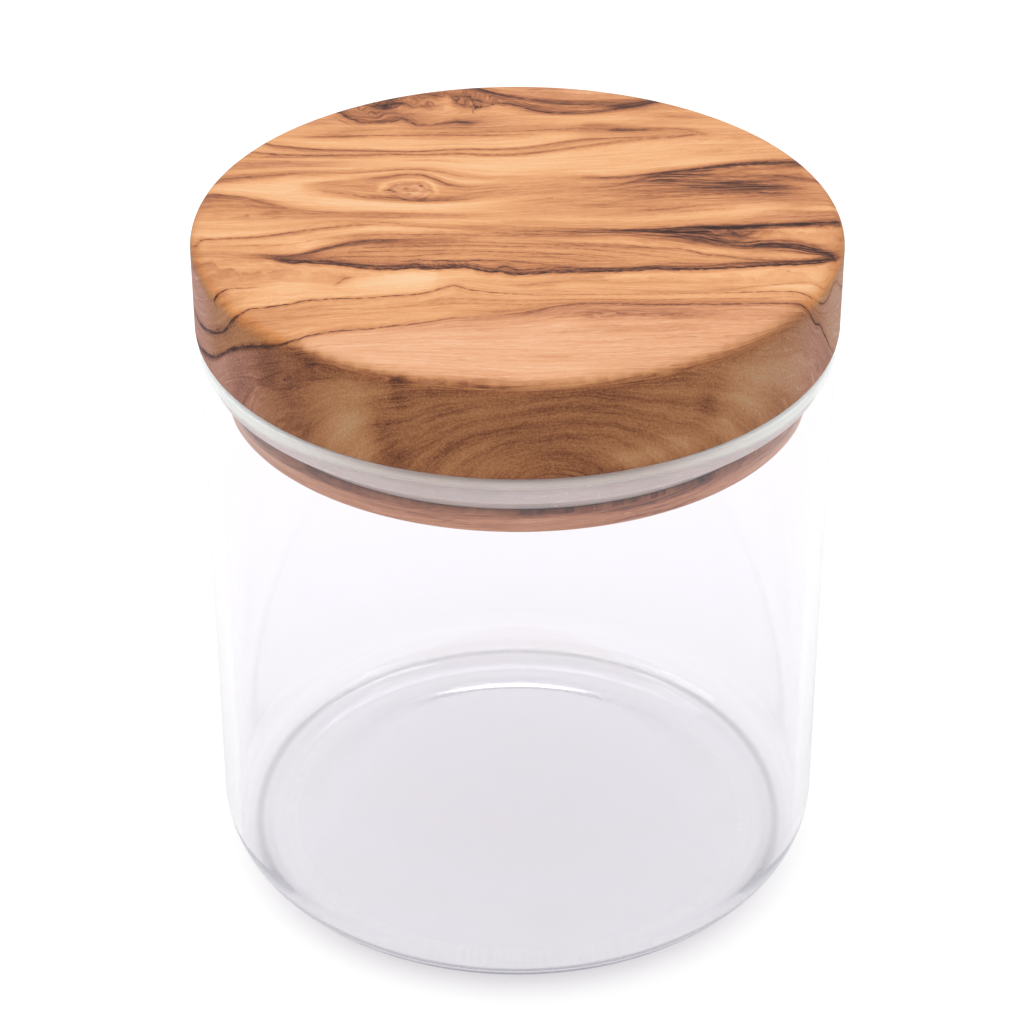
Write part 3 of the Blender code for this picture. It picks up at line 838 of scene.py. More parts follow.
    [(-56, 16.6, 28), (-48, 16.4, 22), (-42, 17, 18), (-36, 17.6, 18), (-30, 17.7, 18),
     (-22, 18.5, 18), (-14, 18.8, 16), (-7, 16.6, 14), (0, 16, 14), (8, 16.6, 18), (16, 17, 18),
     (24, 18.6, 22), (32, 20.4, 26), (40, 21.6, 30), (46, 21.8, 32), (56, 21.6, 34)],
    [(-56, 17.6, 40), (-46, 17.9, 42), (-38, 18.5, 42), (-31, 18.8, 38), (-26, 19, 24),
     (-18, 19.6, 16), (-8, 18.6, 12), (2, 18.4, 12), (12, 19, 15), (24, 20.4, 20), (34, 22, 24),
     (42, 23, 28), (56, 23, 30)],
    [(-56, 20, 42), (-46, 20.3, 42), (-38, 20.3, 40), (-30, 20, 36), (-24, 20.4, 22), (-16, 20.4, 18),
     (-8, 20.2, 13), (2, 20.4, 12), (12, 21.4, 15), (24, 23, 20), (34, 24.4, 24), (56, 25, 30)],
    [(-56, 21, 22), (-44, 21, 17), (-36, 20.9, 17), (-28, 21.2, 20), (-18, 21.3, 16), (-8, 21.6, 14),
     (2, 21.8, 13), (12, 23.6, 15), (20, 25.4, 16), (28, 26.8, 20), (36, 27, 24), (56, 27.4, 30)],
    [(-56, 22.4, 38), (-44, 22.2, 38), (-37, 21.7, 36), (-30, 21.7, 38), (-20, 22.2, 30),
     (-12, 22.4, 24), (-5, 22, 28), (0, 22.2, 28), (6, 23.6, 26), (12, 25.6, 26), (20, 27.8, 28),
     (28, 29, 26), (34, 29.6, 26), (56, 30, 30)],
    follow(BACK_VEIN, 0.0, [(-56, 44), (-40, 46), (-20, 44), (0, 44), (14, 40), (26, 40), (32, 30),
     (56, 30)]),
    follow(BACK_VEIN, 0.75, [(-56, 28), (-40, 26), (-20, 20), (0, 24), (14, 28), (26, 34), (32, 28),
     (56, 30)]),
    follow(REAR_VEIN, 0.0, [(-56, 36), (-40, 44), (-20, 46), (0, 42), (14, 44), (26, 38), (32, 30),
     (56, 30)]),
    follow(REAR_VEIN, 0.55, [(-56, 30), (-40, 28), (-20, 22), (0, 18), (14, 28), (26, 32), (32, 28),
     (56, 30)]),
    [(-56, 31, 30), (-46, 30, 30), (-40, 28.2, 24), (-30, 27.2, 16), (-15, 27.4, 18), (0, 28, 13),
     (8, 29.4, 16), (12, 30, 30), (20, 30.5, 36), (28, 30.7, 34), (31, 30.7, 36), (40, 31, 26),
     (56, 31, 30)],
    [(-56, 31.4, 30), (-46, 30.6, 30), (-40, 29.1, 26), (-35, 29.2, 38), (-28, 29.4, 46),
     (-20, 29.8, 46), (-10, 30, 44), (0, 30, 36), (5, 30.5, 20), (9, 30.7, 22), (12, 31.1, 40),
     (16, 31.2, 46), (20, 31.1, 44), (26, 31.3, 40), (29, 31, 38), (31, 30.9, 34), (40, 31.4, 26),
     (56, 31.6, 30)],
    [(-56, 31.8, 30), (-46, 31, 30), (-40, 30.2, 26), (-33, 30.3, 34), (-28, 30.6, 42),
     (-20, 30.5, 38), (-12, 30.4, 30), (0, 30.8, 26), (6, 31.2, 28), (10, 31.6, 42), (14, 31.8, 54),
     (17, 31.8, 66), (19, 31.8, 62), (22, 31.8, 50), (26, 31.9, 46), (29, 31.4, 42), (31, 31.1, 32),
     (40, 31.9, 25), (56, 32.2, 30)],
    [(-56, 32.4, 30), (-46, 31.6, 30), (-40, 31, 26), (-33, 31.4, 32), (-28, 31.6, 40),
     (-20, 31.3, 42), (-12, 31.2, 42), (0, 31.5, 44), (5, 32, 44), (10, 32.4, 46), (15, 32.5, 48),
     (20, 32.4, 46), (26, 32.5, 42), (29, 31.8, 38), (31.5, 31.4, 28), (40, 32.4, 24), (56, 32.8, 30)],
    [(-56, 33.4, 30), (-46, 33, 30), (-40, 32.4, 26), (-33, 32.4, 26), (-26, 32.6, 36),
     (-20, 32.2, 38), (-14, 32, 42), (-8, 32.1, 46), (0, 32.6, 38), (8, 33.2, 34), (12, 33.7, 44),
     (18, 33.5, 38), (26, 33.4, 28), (32, 33, 24), (40, 33.4, 24), (56, 34, 30)],
    [(-56, 36, 34), (-46, 35.4, 34), (-40, 34.4, 30), (-33, 33.8, 32), (-27, 33.6, 20),
     (-22, 33.6, 24), (-17, 33, 38), (-13, 33.2, 48), (-9, 33.9, 60), (-5, 33.9, 46), (0, 34.8, 34),
     (8, 35.4, 24), (16, 35.2, 20), (24, 35, 28), (32, 35.4, 28), (40, 35.4, 28), (56, 36, 30)],
    [(-56, 38, 36), (-46, 37.6, 36), (-40, 36.8, 34), (-34, 36.2, 38), (-30, 36.4, 36),
     (-27.5, 35, 36), (-26, 34.4, 44), (-24, 34, 44), (-21, 34.4, 46), (-19, 35.4, 50),
     (-17.5, 34.8, 50), (-16, 33.7, 46), (-13, 34.3, 46), (-10.5, 35.4, 54), (-8.5, 36, 56),
     (-5, 36.6, 44), (0, 37, 34), (8, 37.2, 22), (16, 37.2, 19), (24, 37, 34), (28, 36.9, 36),
     (34, 37.4, 28), (56, 38, 30)],
    [(-56, 41, 42), (-46, 40, 42), (-40, 39, 42), (-34, 38, 46), (-30, 38.4, 46), (-27, 37.2, 56),
     (-24, 36.6, 60), (-20, 37.6, 58), (-17, 37, 46), (-14, 36.4, 36), (-11, 36.9, 28),
     (-8, 38, 22), (-3, 38.8, 22), (2, 38, 32), (6, 37.4, 40), (12, 37.6, 40), (18, 39, 34),
     (24, 39.6, 34), (30, 39, 30), (56, 39, 30)],
    [(-56, 43, 46), (-46, 42, 46), (-40, 41, 46), (-32, 40.4, 50), (-28, 40.2, 56), (-24, 39.8, 64),
     (-20, 40, 58), (-16, 39.4, 40), (-13, 39.6, 24), (-11, 40.6, 20), (-9, 40.6, 42), (-7, 40.3, 54),
     (-5, 40.6, 40), (-3.5, 41, 36), (-1, 41.2, 50), (0, 41, 56), (2, 39.9, 60), (4, 38.8, 60),
     (8, 38.3, 60), (11, 38.3, 58), (14, 39, 58), (17, 40, 70), (20, 41, 66), (23, 42.2, 55),
     (30, 41, 36), (56, 41, 34)],
    [(-56, 45, 48), (-46, 44, 48), (-40, 43, 48), (-30, 42.4, 54), (-24, 42.4, 60), (-19, 43.2, 56),
     (-14, 43.2, 42), (-11.5, 43, 24), (-10, 43.4, 50), (-7, 44, 56), (-3, 43.6, 48), (0, 42.8, 46),
     (4, 41.2, 52), (8, 40.2, 52), (12, 40.2, 52), (16, 41, 64), (20, 41.8, 68), (23, 43, 72),
     (30, 44, 50), (56, 44, 40)],
    [(-56, 47, 48), (-46, 46, 48), (-30, 45, 52), (-20, 45.6, 56), (-15, 45.8, 50), (-12, 46, 50),
     (-9, 47.2, 52), (-7.5, 46.9, 54), (-5, 45.3, 54), (-2.5, 44.2, 54), (0, 43.5, 56), (4, 42.3, 62),
     (7, 41.5, 64), (10, 41.2, 64), (15, 41.4, 66), (19, 42, 72), (22, 42.9, 76), (23.5, 43.7, 80),
     (30, 45, 50), (56, 46, 40)],
    [(-56, 50, 48), (-20, 49.5, 50), (-14, 49, 52), (-10, 48.9, 64), (-7.5, 48.1, 70),
     (-5, 46.6, 70), (-2.5, 45.2, 66), (0, 44.6, 62), (4, 43.3, 60), (7, 42.8, 62), (10, 42.6, 62),
     (15, 42.6, 62), (19, 42.9, 64), (22, 43.8, 68), (23.5, 44.4, 70), (30, 46.5, 50), (56, 48, 40)],
    [(-56, 51, 46), (-20, 50.4, 46), (-10, 49.6, 46), (-5, 47.6, 44), (0, 45.7, 42), (5, 44.4, 40),
     (10, 43.8, 36), (15, 43.9, 36), (20, 44.4, 38), (24, 46, 40), (30, 48, 42), (56, 50, 40)],
    [(-56, 53, 46), (-10, 50.6, 40), (-4, 48.8, 36), (0, 47.4, 38), (6, 48.2, 34), (10, 47.4, 26),
     (16, 47.2, 32), (24, 49, 40), (56, 53, 40)],
    [(-56, 60, 50), (0, 56, 40), (56, 60, 40)],
]
print("layers:", len(LAYERS))

# %% Tone between the layers
LEAST_LAYER = 0.10
LEAST_LABEL = 0.25


def kept_apart(values, least):
    """Pushes each row up until it is at least this far above the row before it."""
    steps = (least * np.arange(len(values))).reshape([-1] + [1] * (values.ndim - 1))
    return np.maximum.accumulate(values - steps) + steps


def read_layers(x, s):
    """The layer's label and the tone at (x, s), both mixed between the two nearest layers.

    A label is the layer's height at x = 0. It stays the same along a layer, so a texture laid out
    by it flows with the grain."""
    lines = [columns(layer) for layer in LAYERS]
    height = kept_apart(np.array([smooth_line(at, y, x) for at, y, _ in lines]), LEAST_LAYER)
    tones = np.array([np.interp(x, at, tone) for at, _, tone in lines]) / 100
    label = kept_apart(np.array([np.interp(0.0, at, y) for at, y, _ in lines]), LEAST_LABEL)
    tone = tones[0].copy()
    flow = label[0] + (s - height[0])
    for i in range(len(lines) - 1):
        share = np.clip((s - height[i]) / (height[i + 1] - height[i]), 0, 1)
        tone += (tones[i + 1] - tones[i]) * share
        flow = np.where(s > height[i], label[i] + (label[i + 1] - label[i]) * share, flow)
    return flow, tone


trial = read_layers(np.array([-20.0, 30.0]), np.array([10.0, 20.0]))
print("at two places on the board: label", np.round(trial[0], 1), "tone", np.round(trial[1], 2))

# %% [markdown]
# ## Veins
#
# A vein is thinner than the mesh's grid, so it can't be kept as a colour at the points. Its
# distance can: it changes evenly over the surface, and the material draws a crisp line where it
# passes nought. Every point keeps its nearest vein in each of three groups, so that veins which
# run close together stay apart. A vein is its group, its width in mm and its points, which are
# (x, y, darkness) with 100 for the darkest.

# %% Veins as group, width and points
def darkened(line, darks, start=-99, end=99):
    """A long vein's points with a darkness each, between two values of x."""
    at, dark = columns(darks)
    return [(x, y, float(np.interp(x, at, dark))) for x, y in line if start <= x <= end]


VEINS = [
    (0, 0.6, darkened(LENS_VEIN, [(-37.5, 0), (-36, 90), (-30, 95), (-20, 100), (-12, 95), (-8, 70),
     (-5, 90), (0, 100), (20, 95), (40, 90), (47, 90), (49, 0)], -42, 52)),
    (0, 0.32, darkened(SECOND_VEIN, [(-56, 70), (-41, 80), (-38, 75), (-33, 90), (-28, 80), (-20, 60),
     (-14, 55), (-9, 60), (-5, 55), (0, 35), (10, 30), (30, 40), (40, 60), (46, 70), (56, 60)])),
    (0, 0.36, darkened(FRONT_VEIN, [(-56, 70), (-33, 80), (-30, 65), (-24, 60), (-18, 55), (-12, 35),
     (-2, 15), (4, 25), (8, 55), (20, 55), (40, 65), (56, 70)])),
    (0, 0.55, [(-36.5, -12.4, 20), (-33, -11.6, 45), (-30.5, -10.5, 60), (-28.5, -9.3, 60),
     (-26, -8, 50), (-24, -7.3, 50), (-21, -6.8, 45), (-17, -6.6, 40), (-14, -6.3, 30),
     (-10, -6.1, 20), (-6, -6.2, 10)]),
    (0, 0.45, [(14, -3.4, 20), (17, -3.6, 50), (20, -3.3, 50), (24, -2.8, 55), (28, -2.2, 55),
     (31, -2.1, 60), (35, -2.1, 75), (38, -1.9, 85), (41, -1.6, 90), (45, -1.1, 90), (50, -0.8, 90),
     (54, -0.6, 80)]),
    (0, 0.45, [(10, 14.8, 10), (14, 14.5, 40), (17, 15, 30), (20, 15.6, 40), (22, 16.1, 70),
     (24, 16.5, 80), (27, 17.2, 90), (29, 17.8, 95), (31, 18.4, 90), (33, 19, 85), (36, 19.6, 80),
     (39, 20, 85), (42, 20.1, 90), (46, 20.3, 95), (52, 20.3, 90)]),
    (0, 0.4, darkened(BACK_VEIN, [(-46, 0), (-43, 30), (-38, 45), (-30, 40), (-20, 40), (-10, 35),
     (0, 35), (10, 30), (20, 35), (28, 30), (31, 20), (33, 0)], -48, 36)),
    (1, 0.36, darkened(REAR_VEIN, [(-44, 0), (-41, 25), (-38, 35), (-30, 40), (-20, 45), (-10, 40),
     (0, 35), (10, 40), (20, 40), (28, 30), (31, 20), (33, 0)], -46, 36)),
    (0, 0.35, [(-36, 29.2, 0), (-33, 29.2, 30), (-28, 29.4, 40), (-20, 29.8, 35), (-12, 30, 30),
     (-5, 29.9, 30), (0, 30, 15), (4, 30.4, 0)]),
    (1, 0.32, [(-20, 31.1, 10), (-15, 31, 30), (-10, 31, 30), (-5, 31.1, 25), (0, 31.4, 35),
     (5, 31.9, 35), (10, 32.3, 30), (15, 32.3, 30), (20, 32.2, 30), (24, 32.4, 30), (27, 32.1, 30),
     (29, 31.3, 30), (31, 30.6, 15), (34, 30.3, 0)]),
    (0, 0.4, [(14, 31.8, 0), (15.5, 31.8, 60), (17, 31.7, 70), (19, 31.8, 60), (21, 31.9, 30),
     (24, 31.6, 10)]),
    (0, 0.4, [(-50, -9.6, 0), (-48.9, -8.8, 50), (-48.4, -7.5, 50), (-46, -6.6, 40), (-40, -5.8, 40),
     (-36, -4.8, 40), (-32, -3.5, 35), (-28, -2.5, 35), (-25, -1.8, 30), (-22, -1.6, 15),
     (-20, -1.8, 0)]),
    (1, 0.35, [(-47, -9.3, 10), (-40, -8.5, 25), (-35, -8.2, 20), (-30, -6.6, 30), (-25, -5.4, 35),
     (-20, -4.9, 30), (-15, -4.9, 35), (-8, -5.1, 30), (0, -5.4, 25), (8, -5.6, 20), (14, -5.4, 0)]),
    (0, 0.32, [(-45, -24.2, 70), (-44.3, -23.5, 75), (-43, -22.5, 60), (-40, -22.1, 40),
     (-37, -21.5, 15), (-34, -21, 0)]),
    (1, 0.4, [(-27.6, -21.6, 0), (-27, -21, 25), (-26.3, -20, 45), (-25.6, -19.2, 45),
     (-24.6, -18.8, 20), (-23.6, -18.6, 0)]),
    (1, 0.4, [(-30, -13.4, 40), (-27, -14.2, 70), (-24, -14.8, 75), (-20, -15.2, 80), (-18, -15.2, 70),
     (-16.4, -15.1, 80), (-15.2, -14.6, 95), (-14.4, -15.3, 90), (-13, -15.4, 30), (-11.6, -15.4, 40),
     (-10.6, -14.9, 90), (-9, -15, 70), (-7, -15, 50), (-5, -15.8, 50), (-3.4, -16.2, 50),
     (-2, -15.3, 80), (-1, -15.8, 90), (0, -16.6, 80), (2, -16.2, 50), (5, -15.7, 60), (8, -15.7, 70),
     (13, -16, 60), (18, -15.8, 60), (20, -15.2, 60), (25, -15.3, 45), (29, -15, 35), (33, -14.3, 50),
     (38, -14, 60), (43, -13.7, 60), (47, -13.2, 60), (48.5, -13.2, 0)]),
    (0, 0.38, [(-21, -14, 0), (-18, -13.9, 20), (-15, -13.4, 55), (-12, -13.5, 65), (-9, -13.6, 70),
     (-6, -13.4, 70), (-4, -13.4, 65), (-2, -13.5, 55), (0, -13.8, 50), (4, -14.6, 40), (8, -15.2, 20),
     (11, -15.4, 0)]),
    (1, 0.32, [(-29, -12.7, 30), (-25, -12.2, 45), (-21, -12.2, 35), (-16, -12, 35),
     (-12, -11.3, 40), (-8, -11.4, 25), (0, -12, 25), (5, -12.4, 30), (10, -13.4, 25), (14, -13.7, 15),
     (18, -13.8, 0)]),
    (2, 0.3, [(-28, -11.5, 20), (-25, -10.8, 35), (-20, -10.3, 40), (-14, -10.2, 35), (-5, -10.4, 35),
     (0, -10.8, 40), (5, -11.2, 45), (9, -11.8, 40), (13, -12.6, 25), (17, -13.2, 15), (22, -13.5, 0)]),
    (1, 0.28, [(-25.5, -9.7, 30), (-20, -9, 40), (-15, -8.8, 40), (-8, -8.5, 35), (0, -8.9, 40),
     (6, -9.3, 40), (12, -10, 40), (17, -11, 35), (22, -12.2, 30), (27, -13.2, 15), (32, -13.6, 0)]),
    (2, 0.26, [(-22, -8.2, 15), (-16, -7.9, 30), (-8, -7.5, 30), (0, -7.9, 35), (6, -8.3, 35),
     (12, -8.9, 35), (18, -9.9, 35), (23, -11, 30), (27, -12, 25), (32, -12.8, 20), (37, -13.2, 15),
     (42, -13.4, 0)]),
    (0, 0.3, [(2, -7.4, 0), (8, -7.9, 30), (12, -8.1, 40), (16, -8.3, 40), (19, -9, 45),
     (22, -9.3, 40), (25, -9.7, 50), (26.5, -10.4, 60), (28, -11.5, 60), (31, -12, 55), (35, -13, 50),
     (38, -13.4, 40), (41, -13.6, 20)]),
    (2, 0.3, [(10, -11.6, 30), (14, -12.3, 35), (18, -13, 30), (24, -14.2, 30), (30, -14.4, 25),
     (36, -14.1, 15), (40, -13.9, 0)]),
    (1, 0.45, [(31, -7.4, 30), (34, -8.2, 50), (37, -8.2, 50), (40, -8, 60), (42.5, -8.4, 70),
     (44.5, -9.5, 80), (46, -10.6, 85), (47.2, -11.8, 90), (47.7, -13, 90), (48, -14, 60),
     (48.4, -15, 0)]),
    (1, 0.3, [(-30, -0.4, 0), (-28, -0.5, 20), (-24, -0.6, 35), (-20, -1, 35), (-17, -1.8, 30),
     (-13, -2.6, 25), (-6, -3, 20), (0, -3.2, 0)]),
    (1, 0.3, [(-2, -21.2, 0), (0, -21.1, 25), (2, -21, 35), (4, -20.5, 35), (7, -20.1, 20),
     (12, -20, 15), (20, -20.2, 12), (28, -20.1, 0)]),
    (1, 0.28, [(28, -23.2, 0), (30, -22.8, 20), (33, -22.2, 30), (36, -21.5, 35), (40, -20.8, 35),
     (43, -20.6, 35), (44.4, -21, 35), (45.6, -22.2, 40), (47, -23.4, 40), (50, -25, 30)]),
    (1, 0.26, [(-35, -29, 0), (-31, -28.6, 15), (-26, -28.6, 20), (-20, -28.4, 30), (-16, -27.6, 25),
     (-12, -26.8, 30), (-8, -26.8, 30), (0, -27.2, 30), (6, -26.9, 25), (12, -26.6, 20),
     (20, -26.5, 15), (30, -26.3, 15), (40, -26.1, 0)]),
    (2, 0.26, [(-14, -26.2, 10), (-10, -25.4, 30), (-5, -25.8, 30), (0, -26.1, 35), (5, -25.8, 35),
     (12, -25.7, 35), (20, -25.8, 30), (30, -25.4, 35), (36, -25.3, 35), (41, -25, 25),
     (44, -25.6, 20), (50, -27, 10)]),
    (2, 0.3, [(-38, -31.5, 0), (-33, -31.2, 20), (-28, -30.3, 20), (-22, -30, 12), (-16, -29.6, 10),
     (-10, -28.8, 0)]),
    (0, 0.5, [(-49, 8.9, 20), (-47, 8.5, 45), (-45, 8, 45), (-43, 7.5, 30), (-40.5, 6.3, 30),
     (-39, 5.5, 45), (-37.5, 4.9, 30), (-36, 4, 15), (-33, 3.2, 10), (-30, 2.6, 15), (-25, 2.4, 20),
     (-20, 2.3, 20), (-14, 2, 20), (-8, 1.6, 10)]),
    (0, 0.4, [(-49, 13.9, 35), (-46, 14.2, 40), (-43, 14.7, 40), (-40, 15.2, 35), (-35, 16.1, 35),
     (-30, 16.1, 25), (-26, 16.2, 25), (-22, 16.8, 30), (-18, 17.4, 35), (-15, 17.2, 35),
     (-12, 16.4, 30), (-10, 15.4, 25), (-7, 14.5, 10), (-4, 14.2, 0)]),
    (1, 0.45, [(-24.5, 14.1, 0), (-21, 14.5, 35), (-18, 15.6, 35), (-15.8, 15.6, 35),
     (-14.2, 14.9, 40), (-13, 13.9, 45), (-11.5, 12.5, 45), (-9.5, 11.4, 30), (-7, 10.8, 10)]),
    (1, 0.34, [(-33, 10.5, 0), (-30, 9.6, 25), (-27, 8.9, 30), (-24, 7.9, 35), (-21, 7.6, 40),
     (-18, 7, 40), (-16, 6.5, 40), (-14, 6.4, 40), (-11, 6.6, 35), (-8, 6.9, 20), (-5, 7.6, 0)]),
    (0, 0.6, [(-30.5, 39.9, 60), (-29.5, 38.8, 75), (-28.5, 37.6, 70), (-27.5, 36.6, 70),
     (-26.5, 35.6, 70), (-25.5, 34.8, 50), (-24, 34.6, 45), (-21, 35.1, 50), (-19.6, 35.6, 60),
     (-19, 36.2, 70), (-18.2, 35.8, 60), (-17.3, 34.9, 70), (-16.5, 33.9, 60), (-15, 33.9, 40),
     (-13, 34.2, 40), (-11.5, 34.6, 45), (-10.2, 35.2, 60), (-9.2, 34.9, 85), (-8.2, 34.6, 70),
     (-7, 34.4, 30), (-6, 34.2, 0)]),
    (1, 0.5, [(-24.4, 42.8, 50), (-23.4, 41.6, 60), (-22.4, 41, 80), (-21.2, 41.5, 90),
     (-20.2, 41.9, 90), (-19.2, 42, 70), (-18.4, 41.6, 0)]),
    (0, 0.55, [(-24.6, 41, 0), (-23.4, 40.5, 70), (-21.8, 39.9, 70), (-20.4, 40.3, 40),
     (-19.4, 40.6, 0)]),
    (2, 0.6, [(-23, 45.4, 70), (-22, 45, 80), (-21.4, 44, 80), (-20.8, 43.6, 70),
     (-20.2, 44.4, 60), (-19.6, 45.2, 40), (-19, 45.6, 0)]),
    (0, 0.42, [(-10.6, 44.2, 20), (-9.4, 44.8, 50), (-8.4, 44.6, 60), (-7.6, 44, 60),
     (-7.45, 43, 70), (-7.4, 42, 70), (-7.2, 41, 80), (-6.2, 40.7, 80), (-5, 41.1, 60),
     (-3.5, 42, 60), (-1, 41.7, 70), (0, 41.2, 70), (1, 40.6, 75), (2, 39.9, 75), (4, 38.8, 70),
     (8, 38.3, 70), (11, 38.3, 60), (14, 39, 60), (17, 40.1, 70), (20, 41, 50), (23, 42.4, 30),
     (25, 43, 0)]),
    (1, 0.65, [(-11, 49.4, 60), (-9, 49, 75), (-7.5, 48.3, 80), (-5, 46.7, 75), (-2.5, 45.2, 70),
     (0, 44.4, 60), (2, 43.8, 45), (4, 43, 40), (7, 42.2, 40), (10, 41.8, 35), (15, 41.4, 50),
     (17, 41, 60), (19, 41.4, 60), (21, 42, 65), (22.4, 42.8, 80), (23.5, 43.6, 95), (24.5, 43.4, 100),
     (26, 42.9, 100), (28, 41.9, 90), (30, 40.6, 40)]),
    (1, 0.4, [(-3, 43.4, 0), (-2, 43.5, 30), (-0.5, 43.6, 40), (1, 43.4, 30), (2, 43, 0)]),
    (2, 0.36, [(-31.5, 36.3, 0), (-30, 36.4, 30), (-28.5, 35, 30), (-27, 33.8, 30), (-25.5, 33.6, 20),
     (-24, 33.4, 0)]),
    (2, 0.34, [(-12.6, 47.6, 20), (-11.8, 46, 35), (-11, 44.6, 40), (-10.4, 43.2, 40), (-9.6, 42, 35),
     (-8.8, 41, 30), (-8.2, 40.4, 0)]),
    (2, 0.4, [(-17.2, 46.4, 0), (-16, 45.6, 40), (-14.6, 45.6, 60), (-13.4, 45, 40),
     (-12.4, 44.4, 20), (-11.6, 43.8, 0)]),
    (1, 0.3, [(8, 14.4, 0), (11, 14.6, 20), (14, 14.4, 30), (16, 14.6, 25), (18, 15, 0)]),
    (2, 0.3, [(8, 10.7, 10), (11, 10.9, 30), (14, 11.2, 35), (16, 11.8, 35), (18, 12.8, 35),
     (20, 13.7, 30), (22, 14.2, 0)]),
    (1, 0.3, [(10, 12, 0), (14, 12.2, 15), (17, 12.8, 30), (19, 13.6, 35), (21, 14.4, 30),
     (22.5, 15, 0)]),
    (1, 0.3, [(12, 10, 0), (15, 10.4, 20), (18, 11.2, 30), (21, 12, 30), (24, 12.4, 20),
     (26, 12.4, 0)]),
    (1, 0.4, [(33, 16.2, 15), (36, 15.8, 25), (40, 15.3, 30), (43, 14.7, 35), (46, 13.8, 40),
     (49, 13, 45), (53, 12, 40)]),
    (2, 0.32, [(22, 9.6, 10), (27, 9.3, 35), (32, 9.5, 40), (37, 9.8, 30), (41, 9.9, 10)]),
    (1, 0.32, [(16, 2.9, 0), (20, 3.2, 30), (24, 3.8, 35), (28, 4.6, 25), (32, 5.4, 10)]),
    (2, 0.3, [(14, 7.2, 0), (20, 7.6, 25), (27, 8, 30), (33, 8.6, 25), (38, 8.9, 10)]),
    (2, 0.28, [(14, 1.4, 0), (20, 1.8, 20), (25, 2.6, 25), (30, 3.4, 20), (34, 4.2, 10)]),
    (2, 0.3, [(38, 2.6, 10), (42, 2.8, 20), (46, 2.6, 20), (50, 2.6, 20), (54, 2.6, 10)]),
    (2, 0.34, [(-47, 21.2, 0), (-44, 20.9, 10), (-38, 20.6, 15), (-32, 20.3, 10), (-26, 20.2, 0)]),
    (2, 0.3, [(-21, 20.6, 0), (-17, 20.7, 15), (-14, 20.8, 20), (-11, 20.3, 20), (-8, 19.9, 10),
     (-5, 19.6, 0)]),
    (2, 0.34, [(-25, 26.5, 0), (-15, 26.3, 12), (-10, 26.6, 12), (-4, 26.8, 0)]),
    (2, 0.3, [(-31, 31, 10), (-28, 31.3, 25), (-24, 31.9, 25), (-20, 32.4, 15), (-16, 32.4, 0)]),
    (2, 0.5, [(10, 33.4, 10), (12, 33.9, 30), (14, 33.8, 20), (17, 33.2, 0)]),
    (2, 0.45, [(22, 36.6, 0), (25, 37, 20), (28, 36.9, 25), (31, 36.6, 10), (34, 36.6, 0)]),
    (2, 0.4, [(0, 47, 0), (3, 47.3, 20), (7, 47.6, 20), (10, 47.9, 15), (14, 47.6, 0)]),
]
print("veins:", len(VEINS))

# %% Nearest vein
VEIN_REACH = 1.1
VEIN_FADE = 0.3
CROSSING_FADE = 0.35
VEIN_WIDENING = 1.12
SIDE_WIDENING = 2.1
SIDE_DARKENING = 0.5
STEEP_REACH = 2.6
SLOPE_STEP = 0.2
FARTHEST = 2.0
PLAIN_WIDTH = 0.4
NO_VEIN = 9.0


def nearest_vein(x, s, group, down_side):
    """Signed distance to a group's nearest vein, with the vein's width and darkness.

    The distance is taken across the vein: s minus the vein's height, over the root of 1 + slope
    squared. That is only true close by, so a steep vein stops a few millimetres above and below
    its line. Darkness fades where another vein is as near, and beyond the vein's reach."""
    best = np.full(x.shape, NO_VEIN)
    second = np.full(x.shape, NO_VEIN)
    signed = np.full(x.shape, FARTHEST)
    wide = np.full(x.shape, PLAIN_WIDTH)
    dark = np.zeros(x.shape)
    for own_group, width, points in VEINS:
        if own_group != group:
            continue
        at, y, strength = columns(points)
        rise = smooth_line(at, y, x + SLOPE_STEP) - smooth_line(at, y, x - SLOPE_STEP)
        slope = rise / (2 * SLOPE_STEP)
        above = s - smooth_line(at, y, x)
        across = above / np.sqrt(1 + slope**2)
        beside = (x > at[0]) & (x < at[-1]) & (np.abs(above) < STEEP_REACH)
        away = np.where(beside, np.abs(across), NO_VEIN)
        closer = away < best
        second = np.where(closer, best, np.minimum(second, away))
        signed = np.where(closer, across, signed)
        wide = np.where(closer, width, wide)
        own_dark = np.interp(x, at, strength) / 100 * (1 + SIDE_DARKENING * down_side)
        dark = np.where(closer, own_dark, dark)
        best = np.where(closer, away, best)
    clear = np.clip((second - best) / CROSSING_FADE, 0, 1)
    clear = clear * np.clip((VEIN_REACH + VEIN_FADE - best) / VEIN_FADE, 0, 1)
    width = VEIN_WIDENING * wide * (1 + SIDE_WIDENING * down_side)
    return np.clip(signed, -FARTHEST, FARTHEST), width, dark * clear


trial, _, dark = nearest_vein(np.array([0.0]), np.array([-17.0]), 0, 0.0)
print("beside the lens vein: distance", np.round(trial, 2), "darkness", np.round(dark, 2))

# %% [markdown]
# ## Smoke, blush and knot
#
# Between the veins the colour drifts. Smoke is a patch that is a little darker, blush one that is
# pinker. A knot is a branch cut across: its own rings stand nearly upright in the board, and the
# layers flow round it. Each patch is a soft ellipse: its middle's x and y, its two reaches, its tilt
# in degrees and its strength, which is below 0 where the patch is paler.

